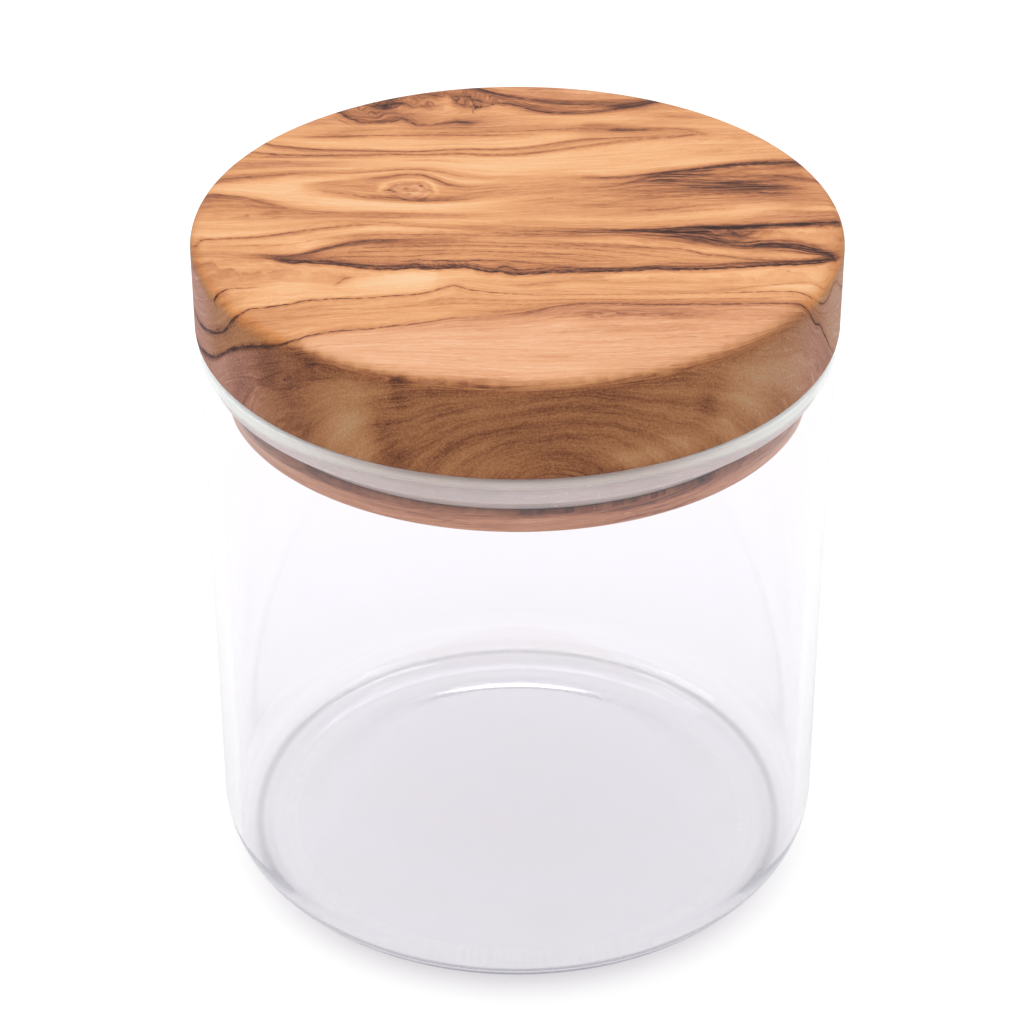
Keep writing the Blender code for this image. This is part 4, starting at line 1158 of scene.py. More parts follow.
# %% Patches of smoke and blush
SMOKE = [
    (31, -3.6, 5, 1.6, 0, 0.25), (41, -9.2, 4, 1.1, -15, 0.2), (36, 11.6, 5.5, 1.3, 0, 0.2),
    (24, 15.3, 3, 1.4, 10, 0.25), (-21.5, 40.8, 3.2, 1.3, 8, 0.22), (-21, 44.2, 1.3, 1.2, 0, 0.3),
    (-29, 39.2, 1.2, 1, -45, 0.35), (-8.8, 34.9, 2, 0.9, 0, 0.25), (17.6, 31.8, 2, 0.45, 0, 0.2),
    (23.4, 43.4, 1.6, 0.9, 20, 0.4), (-36, -18, 1.8, 2.2, 20, 0.1),
    (-35, -13.4, 1.6, 0.5, -10, 0.4), (47.2, -13.2, 1.3, 0.9, 0, 0.3),
    (-1, -17, 1.6, 0.5, 0, 0.2), (41, -27.6, 1.6, 0.9, 20, 0.3), (-32, -12.8, 3, 0.8, -8, 0.2),
    (-37.5, 3.6, 2.5, 0.8, -10, 0.08), (-16.6, 35.2, 1, 0.8, 0, 0.12),
    (-17.6, 34, 0.9, 0.7, 0, 0.08), (-12, 42.5, 3, 2.2, 30, -0.1), (-4, 39.5, 4.5, 1.2, 5, -0.08),
    (-23, 43, 2.5, 1.4, 20, 0.12), (-27, 41, 2, 1.8, 40, 0.1), (-14, 45.2, 3, 1, 0, 0.08)]
LIGHTER_AND_DARKER = [
    (15, -29.6, 17, 2, 0, 0.80), (-36, -20, 9, 4.5, 0, -0.55), (-31, -9.6, 6, 2.4, 0, -0.40),
    (-42, 0.5, 7, 3, 0, -0.35), (-21, 30, 6, 2.5, 0, -0.30), (30, 19.5, 7, 2.5, 0, -0.28),
    (29, -10.4, 6, 2, 0, -0.32), (42, -20.3, 6, 3, 0, -0.30), (-10, 40, 5, 2.5, 0, 0.20),
    (20, 40, 4, 2, 0, 0.16), (41, 10.4, 5, 1.8, 0, 0.42), (20, 10, 5, 2, 0, 0.16),
    (41, 0, 4, 2, 0, -0.22), (41, -9.6, 5, 1.6, 0, 0.22), (-20, -20, 6, 2.5, 0, -0.12)]
BLUSH = [
    (-38, 19.2, 9, 1.3, 0, 0.8), (9, 47, 13, 3, 5, 0.9), (-32, 35, 5, 1.6, 0, 0.5),
    (42, 1.2, 6, 1.2, 0, 0.6), (40, 6.5, 6, 2, 0, 0.4), (-23, 13.3, 1.4, 0.8, 0, 0.8),
    (-17, 34, 2.4, 1.2, 0, 0.5), (20, 13, 6, 2, 0, 0.3), (-30, 24, 12, 1, 0, 0.35),
    (-6, 34.5, 6, 2.4, 0, 0.45), (-20, 39, 9, 4, 0, 0.35), (-13, -13.6, 10, 1, 0, 0.35)]
SMOKE_SHARE = 0.35
print("patches:", len(SMOKE), "of smoke,", len(LIGHTER_AND_DARKER), "wide ones,", len(BLUSH), "of blush")

# %% Knot
KNOT_AT = (-16.9, 10.1)
KNOT_REACH = (3.7, 3.1)
KNOT_PORES = [
    (-17.6, 10.8, 0.35), (-19.2, 9.5, 0.3), (-17, 8.8, 0.35), (-13.8, 10.3, 0.4), (-16, 7.7, 0.3),
    (-18.6, 10.9, 0.2), (-15.2, 11.6, 0.25), (-20, 10.1, 0.3)]
KNOT_TONE = 0.40
RING_TONE = 0.09
RINGS = 11.0
PORE_TONE = 0.35
KNOT_RIM_TONE = 0.22
KNOT_RIM_WIDTH = 0.07
HALO_AT = 1.22
HALO_WIDTH = 0.12
HALO_TONE = 0.14
HALO_SHARE = 0.8
KNOT_EDGE = 0.12


def knot(x, s):
    """0 in the knot's middle and 1 on its rim, an ellipse whose radius sways with the angle."""
    u = (x - KNOT_AT[0]) / KNOT_REACH[0]
    v = (s - KNOT_AT[1]) / KNOT_REACH[1]
    angle = np.arctan2(v, u)
    sway = 0.07 * np.sin(2 * angle + 0.6) + 0.06 * np.sin(3 * angle + 2.0)
    sway += 0.035 * np.sin(5 * angle) + 0.02 * np.sin(9 * angle + 1)
    return np.hypot(u, v) * (1 + sway)


def with_knot(x, s, tone):
    """The tone with the knot's rings and pores inside it, a dark rim and a pale halo.

    The rings are a sine of the distance from the knot's middle, bent by two slow waves. The rim
    leaves out the knot's left end, and the halo lies only behind it."""
    k = knot(x, s)
    inside = np.clip((1.0 - k) / KNOT_EDGE, 0, 1)
    bent = 0.8 * np.sin(x * 1.7) + 0.6 * np.sin(s * 2.3)
    rings = KNOT_TONE + RING_TONE * np.sin(k * RINGS + bent)
    for pore_x, pore_y, reach in KNOT_PORES:
        rings = rings + PORE_TONE * np.exp(-((x - pore_x)**2 + (s - pore_y)**2) / reach**2)
    tone = tone * (1 - inside) + rings * inside
    rim = np.exp(-((k - 1.0) / KNOT_RIM_WIDTH)**2) * np.clip((x + 22) / 2, 0, 1)
    tone = tone + KNOT_RIM_TONE * rim * (0.7 + 0.3 * np.sin(x * 2.1 + s))
    halo = np.exp(-((k - HALO_AT) / HALO_WIDTH)**2) * np.clip((s - 8.2) / 1.5, 0, 1)
    return tone * (1 - HALO_SHARE * halo) + HALO_TONE * HALO_SHARE * halo, inside


print("the knot covers", round(math.pi * KNOT_REACH[0] * KNOT_REACH[1], 1), "square mm")

# %% Figure of one sheet
DEEPEST_EVEN = 0.72
DEEPER_SHARE = 0.80
CURL = 0.65
CURLED = [(-23, 41.5, 9, 4.5), (-8, 42, 8, 4.5)]
PINK_EDGE = 0.25
KNOT_PINK = 0.6


def sheet_figure(x, s):
    """Flow, tone and pinkness of the layers, with smoke, blush, curl and knot added.

    The darkest tones are held back a little, so that veins still show on them. At the back the
    grain curls in two patches, by three waves that run across each other. All wood before the
    front vein is pink: 1 / (1 + e^(d / PINK_EDGE)), where d is how far behind the vein it is."""
    flow, tone = read_layers(x, s)
    for *place, strength in SMOKE + LIGHTER_AND_DARKER:
        tone = tone + SMOKE_SHARE * strength * patch(x, s, *place)
    tone = np.where(tone > DEEPEST_EVEN, DEEPEST_EVEN + DEEPER_SHARE * (tone - DEEPEST_EVEN), tone)
    burl = np.maximum(*[patch(x, s, *place) for place in CURLED])
    curl = np.sin(0.9 * x + 1.3 * s) + 0.7 * np.sin(1.7 * x - 0.8 * s + 1)
    flow = flow + CURL * burl * (curl + 0.5 * np.sin(2.9 * x + 0.6 * s + 2))
    pink_and_sheen = 1 / (1 + np.exp((s - line_at(FRONT_VEIN, x)) / PINK_EDGE))
    for *place, strength in BLUSH:
        pink_and_sheen = np.maximum(pink_and_sheen, strength * patch(x, s, *place))
    tone, inside = with_knot(x, s, tone)
    return flow, tone, np.maximum(pink_and_sheen, KNOT_PINK * inside)


trial = sheet_figure(np.array([0.0, -16.9]), np.array([-40.0, 10.1]))
print("pinkness before the front vein and in the knot:", np.round(trial[2], 2))

# %% [markdown]
# ## The figure down the side
#
# The side shows the same layers cut at another angle. Each layer slopes into the board, so a point
# on the side lies on the sheet that meets the top further back: s is y less that slip. At the left
# and right the slip is set by the heights at which the two front veins come down. In front the
# layers turn over into arches, as they do where a board is cut near the pith.

# %% Where the front veins run down the side, as degrees from the front and height
LEFT_SECOND = [
    (-90, 102.6), (-80, 103.4), (-74, 104.1), (-70.3, 104.7), (-66, 105.8), (-62, 107.4),
    (-57.7, 110.1), (-55.6, 112.3), (-53.5, 114.2), (-30, 114.2)]
LEFT_FRONT = [
    (-90, 97.5), (-80, 98.6), (-72, 100), (-65, 102), (-63, 103.1), (-58.8, 105.8),
    (-52.5, 109), (-47, 111.2), (-43, 112.8), (-40.2, 114.2), (-30, 114.2)]
RIGHT_SECOND = [
    (30, 114.2), (60.4, 114.2), (62, 112.8), (64, 111.5), (67.2, 111.4), (69.3, 112.4),
    (72.5, 111.7), (75.6, 109.6), (79.8, 107.4), (84, 105.2), (89, 103.6), (95, 102)]
RIGHT_FRONT = [
    (30, 114.2), (57.2, 114.2), (58.8, 111.9), (60.9, 109.6), (64, 107.7), (65.5, 105.9),
    (67.2, 104.2), (69.3, 102), (73.5, 98.7), (78, 96), (95, 90)]
LEAST_DEPTH = 0.02
LOWER_SLIP = 1.3
LEFT_FROM = (34, 42)
RIGHT_FROM = (50, 57)
BEHIND_FROM = (84, 100)


def from_front(x, y):
    """Degrees round the lid from the front, below 0 on the left."""
    return np.degrees(np.arctan2(x, -y))


def run_down(x, y, depth, second_line, front_line):
    """The slip at a depth that brings both front veins to their heights on the side.

    It is even between the top and the second vein, and between the second and the front one."""
    turned_by = from_front(x, y)
    second_depth = np.maximum(LID_TOP - line_at(second_line, turned_by), 0)
    least = second_depth + LEAST_DEPTH
    front_depth = np.maximum(LID_TOP - line_at(front_line, turned_by), least)
    second_slip = np.maximum(y - line_at(SECOND_VEIN, x), 0)
    second_slip = np.where(second_depth > 0, second_slip, 0)
    front_slip = np.maximum(y - line_at(FRONT_VEIN, x), second_slip)
    front_slip = np.where(front_depth > least, front_slip, second_slip)
    upper = second_slip * depth / np.maximum(second_depth, LEAST_DEPTH)
    share = (depth - second_depth) / (front_depth - second_depth)
    middle = second_slip + (front_slip - second_slip) * share
    lower = front_slip + LOWER_SLIP * (depth - front_depth)
    return np.where(depth < second_depth, upper, np.where(depth < front_depth, middle, lower))


def sheet(x, y, z):
    """Which sheet a point is on: y less the slip at its depth.

    The slip is the depth itself in front and behind, and eases into the veins' own at the sides."""
    depth = LID_TOP - z
    turned_by = from_front(x, y)
    left = eased(-turned_by, *LEFT_FROM)
    right = eased(turned_by, *RIGHT_FROM)
    ahead = 1 - eased(np.abs(turned_by), *BEHIND_FROM)
    slip = depth
    slip = slip + (run_down(x, y, depth, LEFT_SECOND, LEFT_FRONT) - slip) * left * ahead
    slip = slip + (run_down(x, y, depth, RIGHT_SECOND, RIGHT_FRONT) - slip) * right * ahead
    return y - slip


low_on_left = (-0.9 * LID_RADIUS, -0.4 * LID_RADIUS, LID_TOP - 10.0)
print("a point low on the left side lies on sheet", round(float(sheet(*low_on_left)), 1))

# %% [markdown]
# Where the front is cut into arches, a point's tone depends on which arch it is on. The arches are
# numbered by their distance q from a place below the side's foot, and ARCH_TONES gives the tone of
# each q. Patches of lighter and darker wood lie over them, by degrees from the front and height.

# %% Arches on the front
ARCH_TONES = [
    (-2, 0.56), (3, 0.58), (5.5, 0.56), (7, 0.47), (8.2, 0.42), (9.2, 0.48), (10.2, 0.42),
    (11.4, 0.52), (12.6, 0.44), (13.9, 0.5), (15, 0.43), (16, 0.5), (17.2, 0.42), (18.6, 0.48),
    (20, 0.42), (22, 0.46), (26, 0.42), (32, 0.44), (60, 0.44)]
SIDE_PATCHES = [
    (-19.5, 111, 2, 4, 0, 0.12), (-22.5, 104.5, 2.2, 4.5, 10, 0.13), (-19, 99, 2, 3, -10, 0.08),
    (-29, 102, 4.5, 6, 0, -0.17), (-26, 109, 3, 5, 0, -0.06), (-41, 104, 4, 6, -6, 0.1),
    (-37, 112, 4, 2.4, -10, 0.08), (-47, 108, 3, 5, -20, 0.08), (-56, 102, 5, 5, -20, 0.08),
    (20, 100.3, 7, 1.6, 0, -0.14), (28, 101.5, 5, 1.5, -20, -0.05), (7, 103.9, 8, 1.8, 0, 0.06),
    (33, 106, 2.2, 4, -25, 0.1), (41, 104, 7, 8, 0, -0.11), (54, 104, 6, 8, 0, -0.1),
    (60, 101, 5, 5, 0, 0.03), (0, 99, 6, 1.5, 0, -0.05), (-6, 107, 3, 4, 0, -0.03)]
FRONT_PATCHES = [
    (15, 110, 5, 2.8, 0, 0.08), (-15, 110.5, 5, 2.8, 0, 0.05), (-45, 107, 5, 6, 0, 0.07),
    (2, 105, 7, 2.6, 0, 0.05), (0, 100.4, 7, 1.7, 0, -0.06), (29, 100.4, 6, 2.6, 0, -0.08),
    (45, 107, 8, 6.5, 0, -0.10), (-30, 105, 4, 3, 0, -0.04), (60, 104, 7, 5, 0, -0.07),
    (-62, 103, 6, 6, 0, -0.10), (-46, 104, 4, 4, 0, -0.05)]
ARCH_FOOT = 96.0
ARCH_MIDDLE = 5.5
ARCH_WIDENING = 1.30
ARCH_FLATTENING = 0.022
ARCH_CONTRAST = 1.5
ARCH_MEAN = 0.50
EDGE_TONE = 0.14
EDGE_AT = 1.5
EDGE_WIDTH = 1.1


def arches(turned_by, z):
    """How far a point is from the arches' foot: the root of (u / widening)^2 + height^2.

    u is the distance round the side, and the widening grows with it, so the arches flatten out.
    Two waves across them keep them from being even."""
    u = np.radians(turned_by) * LID_RADIUS - ARCH_MIDDLE
    far = np.hypot(u / (ARCH_WIDENING + ARCH_FLATTENING * np.abs(u)), z - ARCH_FOOT)
    return far + 0.22 * np.sin(0.33 * u + 0.2 * z) + 0.10 * np.sin(0.9 * u - 0.5 * z)


def arch_tone(turned_by, z, q):
    """Tones by arch, with patches, more contrast and a darker line where the top's edge turns."""
    tone = line_at(ARCH_TONES, q)
    for *place, strength in SIDE_PATCHES + FRONT_PATCHES:
        tone = tone + strength * patch(turned_by, z, *place)
    edge = np.exp(-((LID_TOP - z - EDGE_AT) / EDGE_WIDTH)**2)
    return ARCH_MEAN + ARCH_CONTRAST * (tone - ARCH_MEAN) + EDGE_TONE * edge


half_way_up = (LID_TOP + DISC_UNDERSIDE) / 2
q = arches(0.0, half_way_up)
print("at the front, half way up: q", round(float(q), 1),
      "tone", round(float(arch_tone(0.0, half_way_up, q)), 2))

# %% Streaks on the plug
PLUG_TONE = 0.40
PLUG_STREAK = 0.11
PLUG_SHADE = 0.17
PLUG_SHADE_AT = 89.2
PLUG_SHADE_WIDTH = 0.55


def plug_tone(x, z):
    """Streaks along the flange, as the sum of three slow waves, and the shade under the seal."""
    streak = 0.5 * np.sin(2.6 * z + 0.10 * x) + 0.3 * np.sin(4.3 * z - 0.23 * x + 1)
    streak = streak + 0.35 * np.sin(0.21 * x + 0.9 * z)
    shade = np.exp(-((z - PLUG_SHADE_AT) / PLUG_SHADE_WIDTH)**2)
    return PLUG_TONE + PLUG_STREAK * streak + PLUG_SHADE * shade


print("the flange's tone in the shade:", round(float(plug_tone(0.0, PLUG_SHADE_AT)), 2))

# %% [markdown]
# At the right the sheets come down the side almost along it. A millimetre across them is then many
# millimetres on the wood, and a vein drawn by its distance across the sheets would smear. So the
# distance is stretched back to what it is on the wood.

# %% Veins in the right corner
CORNER_STEP = 0.2
LEAST_SLOPE = 0.08
CORNER_DEPTH = (0.3, 1.5)


def corner_stretch(x, y, z):
    """The right corner's mask, and how many mm of wood one mm across its sheets takes up.

    That is 1 over the sheets' slope: the root of their change down the side squared plus their
    change round it squared. Away from the corner it is 1."""
    turned_by = from_front(x, y)
    down = (sheet(x, y, z + CORNER_STEP) - sheet(x, y, z - CORNER_STEP)) / (2 * CORNER_STEP)
    cos, sin = np.cos(CORNER_STEP / LID_RADIUS), np.sin(CORNER_STEP / LID_RADIUS)
    ahead = sheet(x * cos - y * sin, y * cos + x * sin, z)
    behind = sheet(x * cos + y * sin, y * cos - x * sin, z)
    slope = np.clip(np.hypot(down, (ahead - behind) / (2 * CORNER_STEP)), LEAST_SLOPE, 1)
    corner = eased(turned_by, *RIGHT_FROM) * (1 - eased(turned_by, *BEHIND_FROM))
    corner = corner * eased(LID_TOP - z, *CORNER_DEPTH)
    return corner, 1 + corner * (1 / slope - 1)


trial = corner_stretch(0.9 * LID_RADIUS, -0.4 * LID_RADIUS, LID_TOP - 6.0)
print("in the right corner one mm of sheets takes up", round(float(trial[1]), 1), "mm")

# %% [markdown]
# Now the parts are put together. Every point gets five values: its tone, its place in the flow of
# the grain, how pink it is, how calm its figure is, and how far the right corner's dark layers have
# paled on it. Pinkness also carries two casts that the side has: below 0 the wood turns amber, as it
# does on the rounded edge, and above 1 it carries a painted sheen, the pale shine that the bright
# surround gives the side far round, where it turns away. There the painted sheen makes the wood
# pinker as well.

# %% Masks over the side
# Painted sheen: the pale shine of the bright surround on the side far round, where it turns away.
SHEEN_LEFT = 1.0
SHEEN_RIGHT = 0.7
ARCH_SHEEN_FROM = (30, 62)
LEFT_SHEEN_FROM = (54, 72)
RIGHT_SHEEN_FROM = (52, 66)
CUT_DEPTH = (0.25, 1.15)
CUT_BEFORE_VEIN = (0.2, 1.2)


def front_cut(x, y, depth, before_vein):
    """1 where the side is cut across the arches: below the edge, and before the front vein."""
    turned_by = from_front(x, y)
    ragged = 0.14 * np.sin(1.9 * turned_by) + 0.06 * np.sin(4.7 * turned_by + 1)
    below = eased(depth + ragged, *CUT_DEPTH)
    return below * eased(before_vein, *CUT_BEFORE_VEIN) * eased(np.hypot(x, y), 44, 48)


def painted_sheen_share(turned_by, depth, cut):
    """How much painted sheen the side has: it starts further forward on the arches than on the layers
    above.
    """
    dust_and_sheen = SHEEN_LEFT * eased(-turned_by, *ARCH_SHEEN_FROM)
    dust_and_sheen = dust_and_sheen + SHEEN_RIGHT * eased(turned_by, *ARCH_SHEEN_FROM)
    sheen_above = SHEEN_LEFT * eased(-turned_by, *LEFT_SHEEN_FROM)
    sheen_above = sheen_above + SHEEN_RIGHT * eased(turned_by, *RIGHT_SHEEN_FROM)
    dust_and_sheen = sheen_above + (dust_and_sheen - sheen_above) * cut
    return dust_and_sheen * eased(depth, 0.6, 3.0) * (1 - eased(np.abs(turned_by), 100, 130))


def amber_share(depth, cut):
    """How amber the wood is: just under the top, and gone 3.6 mm below it and on the arches."""
    return eased(depth, 0.05, 0.9) * (1 - eased(depth, 1.2, 3.6)) * (1 - cut)


def pale_corner(x, s, turned_by, depth):
    """1 where the right corner's dark layers, behind the second vein, come down the side pale."""
    corner = eased(turned_by, 57, 64) * (1 - eased(turned_by, 96, 112)) * eased(depth, 0.4, 1.6)
    return corner * eased(s - line_at(SECOND_VEIN, x), 0.6, 1.6)


print("dust 70 degrees round and 5 mm down:", round(float(painted_sheen_share(-70.0, 5.0, 0.0)), 2))

# %% Figure of the whole lid
PALE_TONE = 0.30
PALE_SHARE = 0.85
RIGHT_TONE = 0.12
RIGHT_SHARE = 0.75
FRONT_PINK = 0.15
PLUG_PINK = 0.6
ARCH_FLOW = 30.0
ARCH_FLOW_STEP = 0.9
PLUG_FLOW = 60.0


def figure(x, y, z):
    """Sheet, flow, tone, pinkness, calmness and paleness at every point: the top's sheet figure,
    mixed into arches below the front edge and into streaks on the plug."""
    s = sheet(x, y, z)
    flow, tone, pink_and_sheen = sheet_figure(x, s)
    turned_by = from_front(x, y)
    depth = LID_TOP - z
    before_vein = line_at(FRONT_VEIN, x) - s
    q = arches(turned_by, z)
    cut = front_cut(x, y, depth, before_vein)
    tone = tone * (1 - cut) + arch_tone(turned_by, z, q) * cut
    # Towards the side's ends the arches turn pink, a painted sheen of the surround where the side turns
    # away.
    ends = eased(np.abs(turned_by - 4), 38, 62)
    pink_and_sheen = pink_and_sheen * (1 - cut) + cut * (FRONT_PINK + (1 - FRONT_PINK) * ends)
    # Painted sheen far round the side, carried in the pinkness above 1.
    dust_and_sheen = painted_sheen_share(turned_by, depth, cut)
    amber = amber_share(depth, cut)
    pink_and_sheen = np.maximum(pink_and_sheen, dust_and_sheen) + dust_and_sheen - amber * (1 - np.clip(dust_and_sheen, 0, 1))
    pale = pale_corner(x, s, turned_by, depth)
    tone = tone + (PALE_TONE - tone) * PALE_SHARE * pale
    right_side = eased(turned_by, 60, 70) * (1 - eased(turned_by, 92, 110)) * eased(depth, 0.8, 3.0)
    tone = tone + (RIGHT_TONE - tone) * RIGHT_SHARE * right_side * (1 - cut)
    arched = eased(before_vein, 1.5, 9.0) * eased(depth, 0.1, 2.4)
    flow = flow * (1 - arched) - (ARCH_FLOW + ARCH_FLOW_STEP * q) * arched
    plug = np.clip(ARCH_FOOT - z, 0, 1)
    underside = eased(FLANGE - np.hypot(x, y), 0.3, 1.2) * eased(PLUG_BOTTOM - z, -1.0, 0.0)
    plug_flow = (0.05 * x - 1.2 * z) * (1 - underside) + y * underside - PLUG_FLOW
    tone = tone * (1 - plug) + plug * (plug_tone(x, z) * (1 - underside) + tone * underside)
    flow = flow * (1 - plug) + plug * plug_flow
    pink_and_sheen = pink_and_sheen * (1 - plug) + plug * PLUG_PINK
    calm = eased(depth, 0.3, 2.4) * (1 - plug)
    return s, flow, tone, pink_and_sheen, calm, pale


trial = figure(np.array([-20.0, 0.0]), np.array([-10.0, 0.0]), np.array([LID_TOP, LID_TOP]))
print("tone near the lens vein and in the middle:", np.round(trial[2], 2))

# %% [markdown]
# ## The lid's shape
#
# The lid is turned from one thick board: a flat top with a rounded edge, an upright side, and the
# plug below. The top is a dense grid of rings, not because its shape needs them but because the
# grain's values are kept at the points, and the veins have to stay sharp between them.

# %% Lid
LID_TOP_EDGE = 2.4
LID_LOWER_EDGE = 0.5
GROOVE_FILLET = 0.5
FLANGE_EDGE = 0.6
TOP_RINGS = 98
SIDE_RINGS = 26
LID_SEGMENTS = 512


def lid_profile():
    """From the middle of the top, over the edge, down the side and in to the neck and flange."""
    flat = LID_RADIUS - LID_TOP_EDGE
    side_top = LID_TOP - LID_TOP_EDGE
    side_low = DISC_UNDERSIDE + LID_LOWER_EDGE
    neck_f = NECK + GROOVE_FILLET
    flange_f = FLANGE - FLANGE_EDGE
    return joined(
        [0.0, LID_TOP],
        straight((0.0, LID_TOP), (flat, LID_TOP), TOP_RINGS),
        arc(flat, side_top, LID_TOP_EDGE, 90, 0, 10),
        straight((LID_RADIUS, side_top), (LID_RADIUS, side_low), SIDE_RINGS),
        arc(LID_RADIUS - LID_LOWER_EDGE, side_low, LID_LOWER_EDGE, 0, -90, 4),
        straight((LID_RADIUS - LID_LOWER_EDGE, DISC_UNDERSIDE), (neck_f, DISC_UNDERSIDE), 4),
        arc(neck_f, DISC_UNDERSIDE - GROOVE_FILLET, GROOVE_FILLET, 90, 180, 2),
        straight((NECK, DISC_UNDERSIDE - GROOVE_FILLET), (NECK, FLANGE_TOP + GROOVE_FILLET), 4),
        arc(neck_f, FLANGE_TOP + GROOVE_FILLET, GROOVE_FILLET, 180, 270, 2),
        straight((neck_f, FLANGE_TOP), (flange_f, FLANGE_TOP), 2),
        arc(flange_f, FLANGE_TOP - FLANGE_EDGE, FLANGE_EDGE, 90, 0, 3),
        straight((FLANGE, FLANGE_TOP - FLANGE_EDGE), (FLANGE, PLUG_BOTTOM + FLANGE_EDGE), 12),
        arc(flange_f, PLUG_BOTTOM + FLANGE_EDGE, FLANGE_EDGE, 0, -90, 3),
        straight((flange_f, PLUG_BOTTOM), (0.0, PLUG_BOTTOM), 14))


lid, lid_points = turned("lid", lid_profile(), LID_SEGMENTS)
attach(lid, "lid")
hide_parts("wooden_lid")

# %% Grain values on the lid's points
def keep(mesh, name, first, second, third):
    """Stores three values a point as one vector attribute."""
    values = np.stack([first, second, third], axis=1).astype(np.float32)
    mesh.attributes.new(name, "FLOAT_VECTOR", "POINT").data.foreach_set("vector", values.ravel())


CORNER_SLIM = 0.72
CORNER_PALER = 0.3
PALE_VEINS = 0.9
VEIN_GROUPS = 3

x, y, z = lid_points.T
s, flow, tone, pink_and_sheen, calm, pale = figure(x, y, z)
plug = np.clip((DISC_UNDERSIDE - 0.5 - z) / 0.5, 0, 1)
keep(lid.data, "tone", tone, pink_and_sheen, plug)
keep(lid.data, "grain", x, flow, calm)
corner, stretch = corner_stretch(x, y, z)
for group in range(VEIN_GROUPS):
    signed, width, dark = nearest_vein(x, s, group, eased(LID_TOP - z, 0.3, 3.0))
    signed = np.clip(signed * stretch, -FARTHEST, FARTHEST)
    width = width * (1 - CORNER_SLIM * corner)
    dark = dark * (1 - PALE_VEINS * pale) * (1 - CORNER_PALER * corner)
    keep(lid.data, "veins_%d" % group, signed, width, dark)
print("tone from", round(float(tone.min()), 2), "to", round(float(tone.max()), 2))

# %% [markdown]
# ## Olive wood
#
# The material turns those values into colour: a ramp from pale sapwood to nearly black veins, with
# fine fibres, pores and flecks that noise draws out along the grain. Noise alone can't place
# a knot or a lens, and a drawn line alone looks like ink, so each vein's distance, width and
# strength are shaken by noise before it is drawn. The noise is laid out by the grain's own values:
# x along it, and the flow across it, so that it bends where the layers bend.

# %% Values from the points, and noise along the grain
wood, tree, out = new_material("olive_wood_oiled")
kept = node(tree, "ShaderNodeAttribute", {"attribute_name": "grain"}).outputs["Vector"]
parts = node(tree, "ShaderNodeSeparateXYZ", None,
             Vector=node(tree, "ShaderNodeAttribute", {"attribute_name": "tone"}).outputs["Vector"])
drawn_tone, pink_and_sheen, plug = parts.outputs
_, lie, calm = node(tree, "ShaderNodeSeparateXYZ", None, Vector=kept).outputs
grain = stretched(tree, kept, (1.0, 1.0, 0.0))


def grain_noise(along, across, detail, roughness=0.5, distortion=0.0):
    """Noise with so many waves a millimetre along the grain and across it."""
    place = stretched(tree, grain, (along, across, across))
    return noise(tree, place, 1.0, detail, roughness, distortion)


sway = grain_noise(0.16, 0.55, 3.0, 0.6)
jitter = grain_noise(1.1, 2.4, 3.0, 0.6)
fibre = grain_noise(0.11, 2.8, 4.0, 0.65, 0.25)
band = grain_noise(0.035, 0.75, 3.0, 0.6, 0.3)
fleck = grain_noise(0.55, 5.5, 2.0, 0.6)
cloud = grain_noise(0.05, 0.16, 2.0)
ray_fleck = mapped(tree, grain_noise(0.40, 4.2, 2.0), 0.55, 0.72)
line_noise = grain_noise(0.7, 2.2, 3.0, 0.6)
print("wood nodes for the noise:", len(tree.nodes))

# %% Tone, shaken by the noise
LIVELINESS = (0.50, 1.15)
CALM_SHARE = 0.62
RAY_FLECK = -0.14
SPECKLES_PER_METRE = 3000.0
TOP_SPECKLE = 0.10
SIDE_SPECKLE = 0.62
LINE_SHARPNESS = 2.6


def growth_lines(lines_per_mm, stray, patch_size):
    """Rings that darken slowly and end sharply, straying with the noise and strong in patches."""
    turns = maths(tree, "MULTIPLY_ADD", lie, lines_per_mm, maths(tree, "MULTIPLY", stray, sway))
    dark = maths(tree, "POWER", maths(tree, "FRACT", turns), LINE_SHARPNESS)
    where = grain_noise(0.03, patch_size, 2.0)
    return maths(tree, "MULTIPLY", dark, mapped(tree, where, 0.40, 0.62))


liveliness = mapped(tree, drawn_tone, 0.05, 0.62, *LIVELINESS)
liveliness = maths(tree, "MULTIPLY", liveliness, mapped(tree, calm, 0.0, 1.0, 1.0, CALM_SHARE))
shifts = ((fibre, 0.58, 0.5), (band, 0.42, 0.5), (fleck, 0.40, 0.5), (cloud, 0.16, 0.5),
          (growth_lines(0.36, 1.6, 0.11), 0.15, 0.14), (growth_lines(0.92, 2.6, 0.16), 0.15, 0.14))
tone = drawn_tone
for value, strength, middle in shifts:
    shift = maths(tree, "MULTIPLY", maths(tree, "SUBTRACT", value, middle), strength)
    tone = maths(tree, "MULTIPLY_ADD", shift, liveliness, tone)
tone = maths(tree, "MULTIPLY_ADD", maths(tree, "MULTIPLY", ray_fleck, pink_and_sheen), RAY_FLECK, tone)
place = node(tree, "ShaderNodeTexCoord").outputs["Object"]
speckle = maths(tree, "SUBTRACT", noise(tree, place, SPECKLES_PER_METRE, 2.0, 0.7), 0.5)
speckle = maths(tree, "MULTIPLY", speckle, mapped(tree, calm, 0.0, 1.0, TOP_SPECKLE, SIDE_SPECKLE))
tone = maths(tree, "ADD", tone, speckle)
streak = mapped(tree, fibre, 0.36, 0.60, -0.16, 0.12)
tone = maths(tree, "MULTIPLY_ADD", streak, mapped(tree, drawn_tone, 0.50, 0.75), tone)
print("wood nodes with the tone:", len(tree.nodes))

# %% Veins drawn in
VEIN_STRENGTH = 1.2
VEIN_SWAY = 0.5
VEIN_JITTER = 0.40
VEIN_HALO_REACH = 3.4
VEIN_HALO_SHARE = 0.26

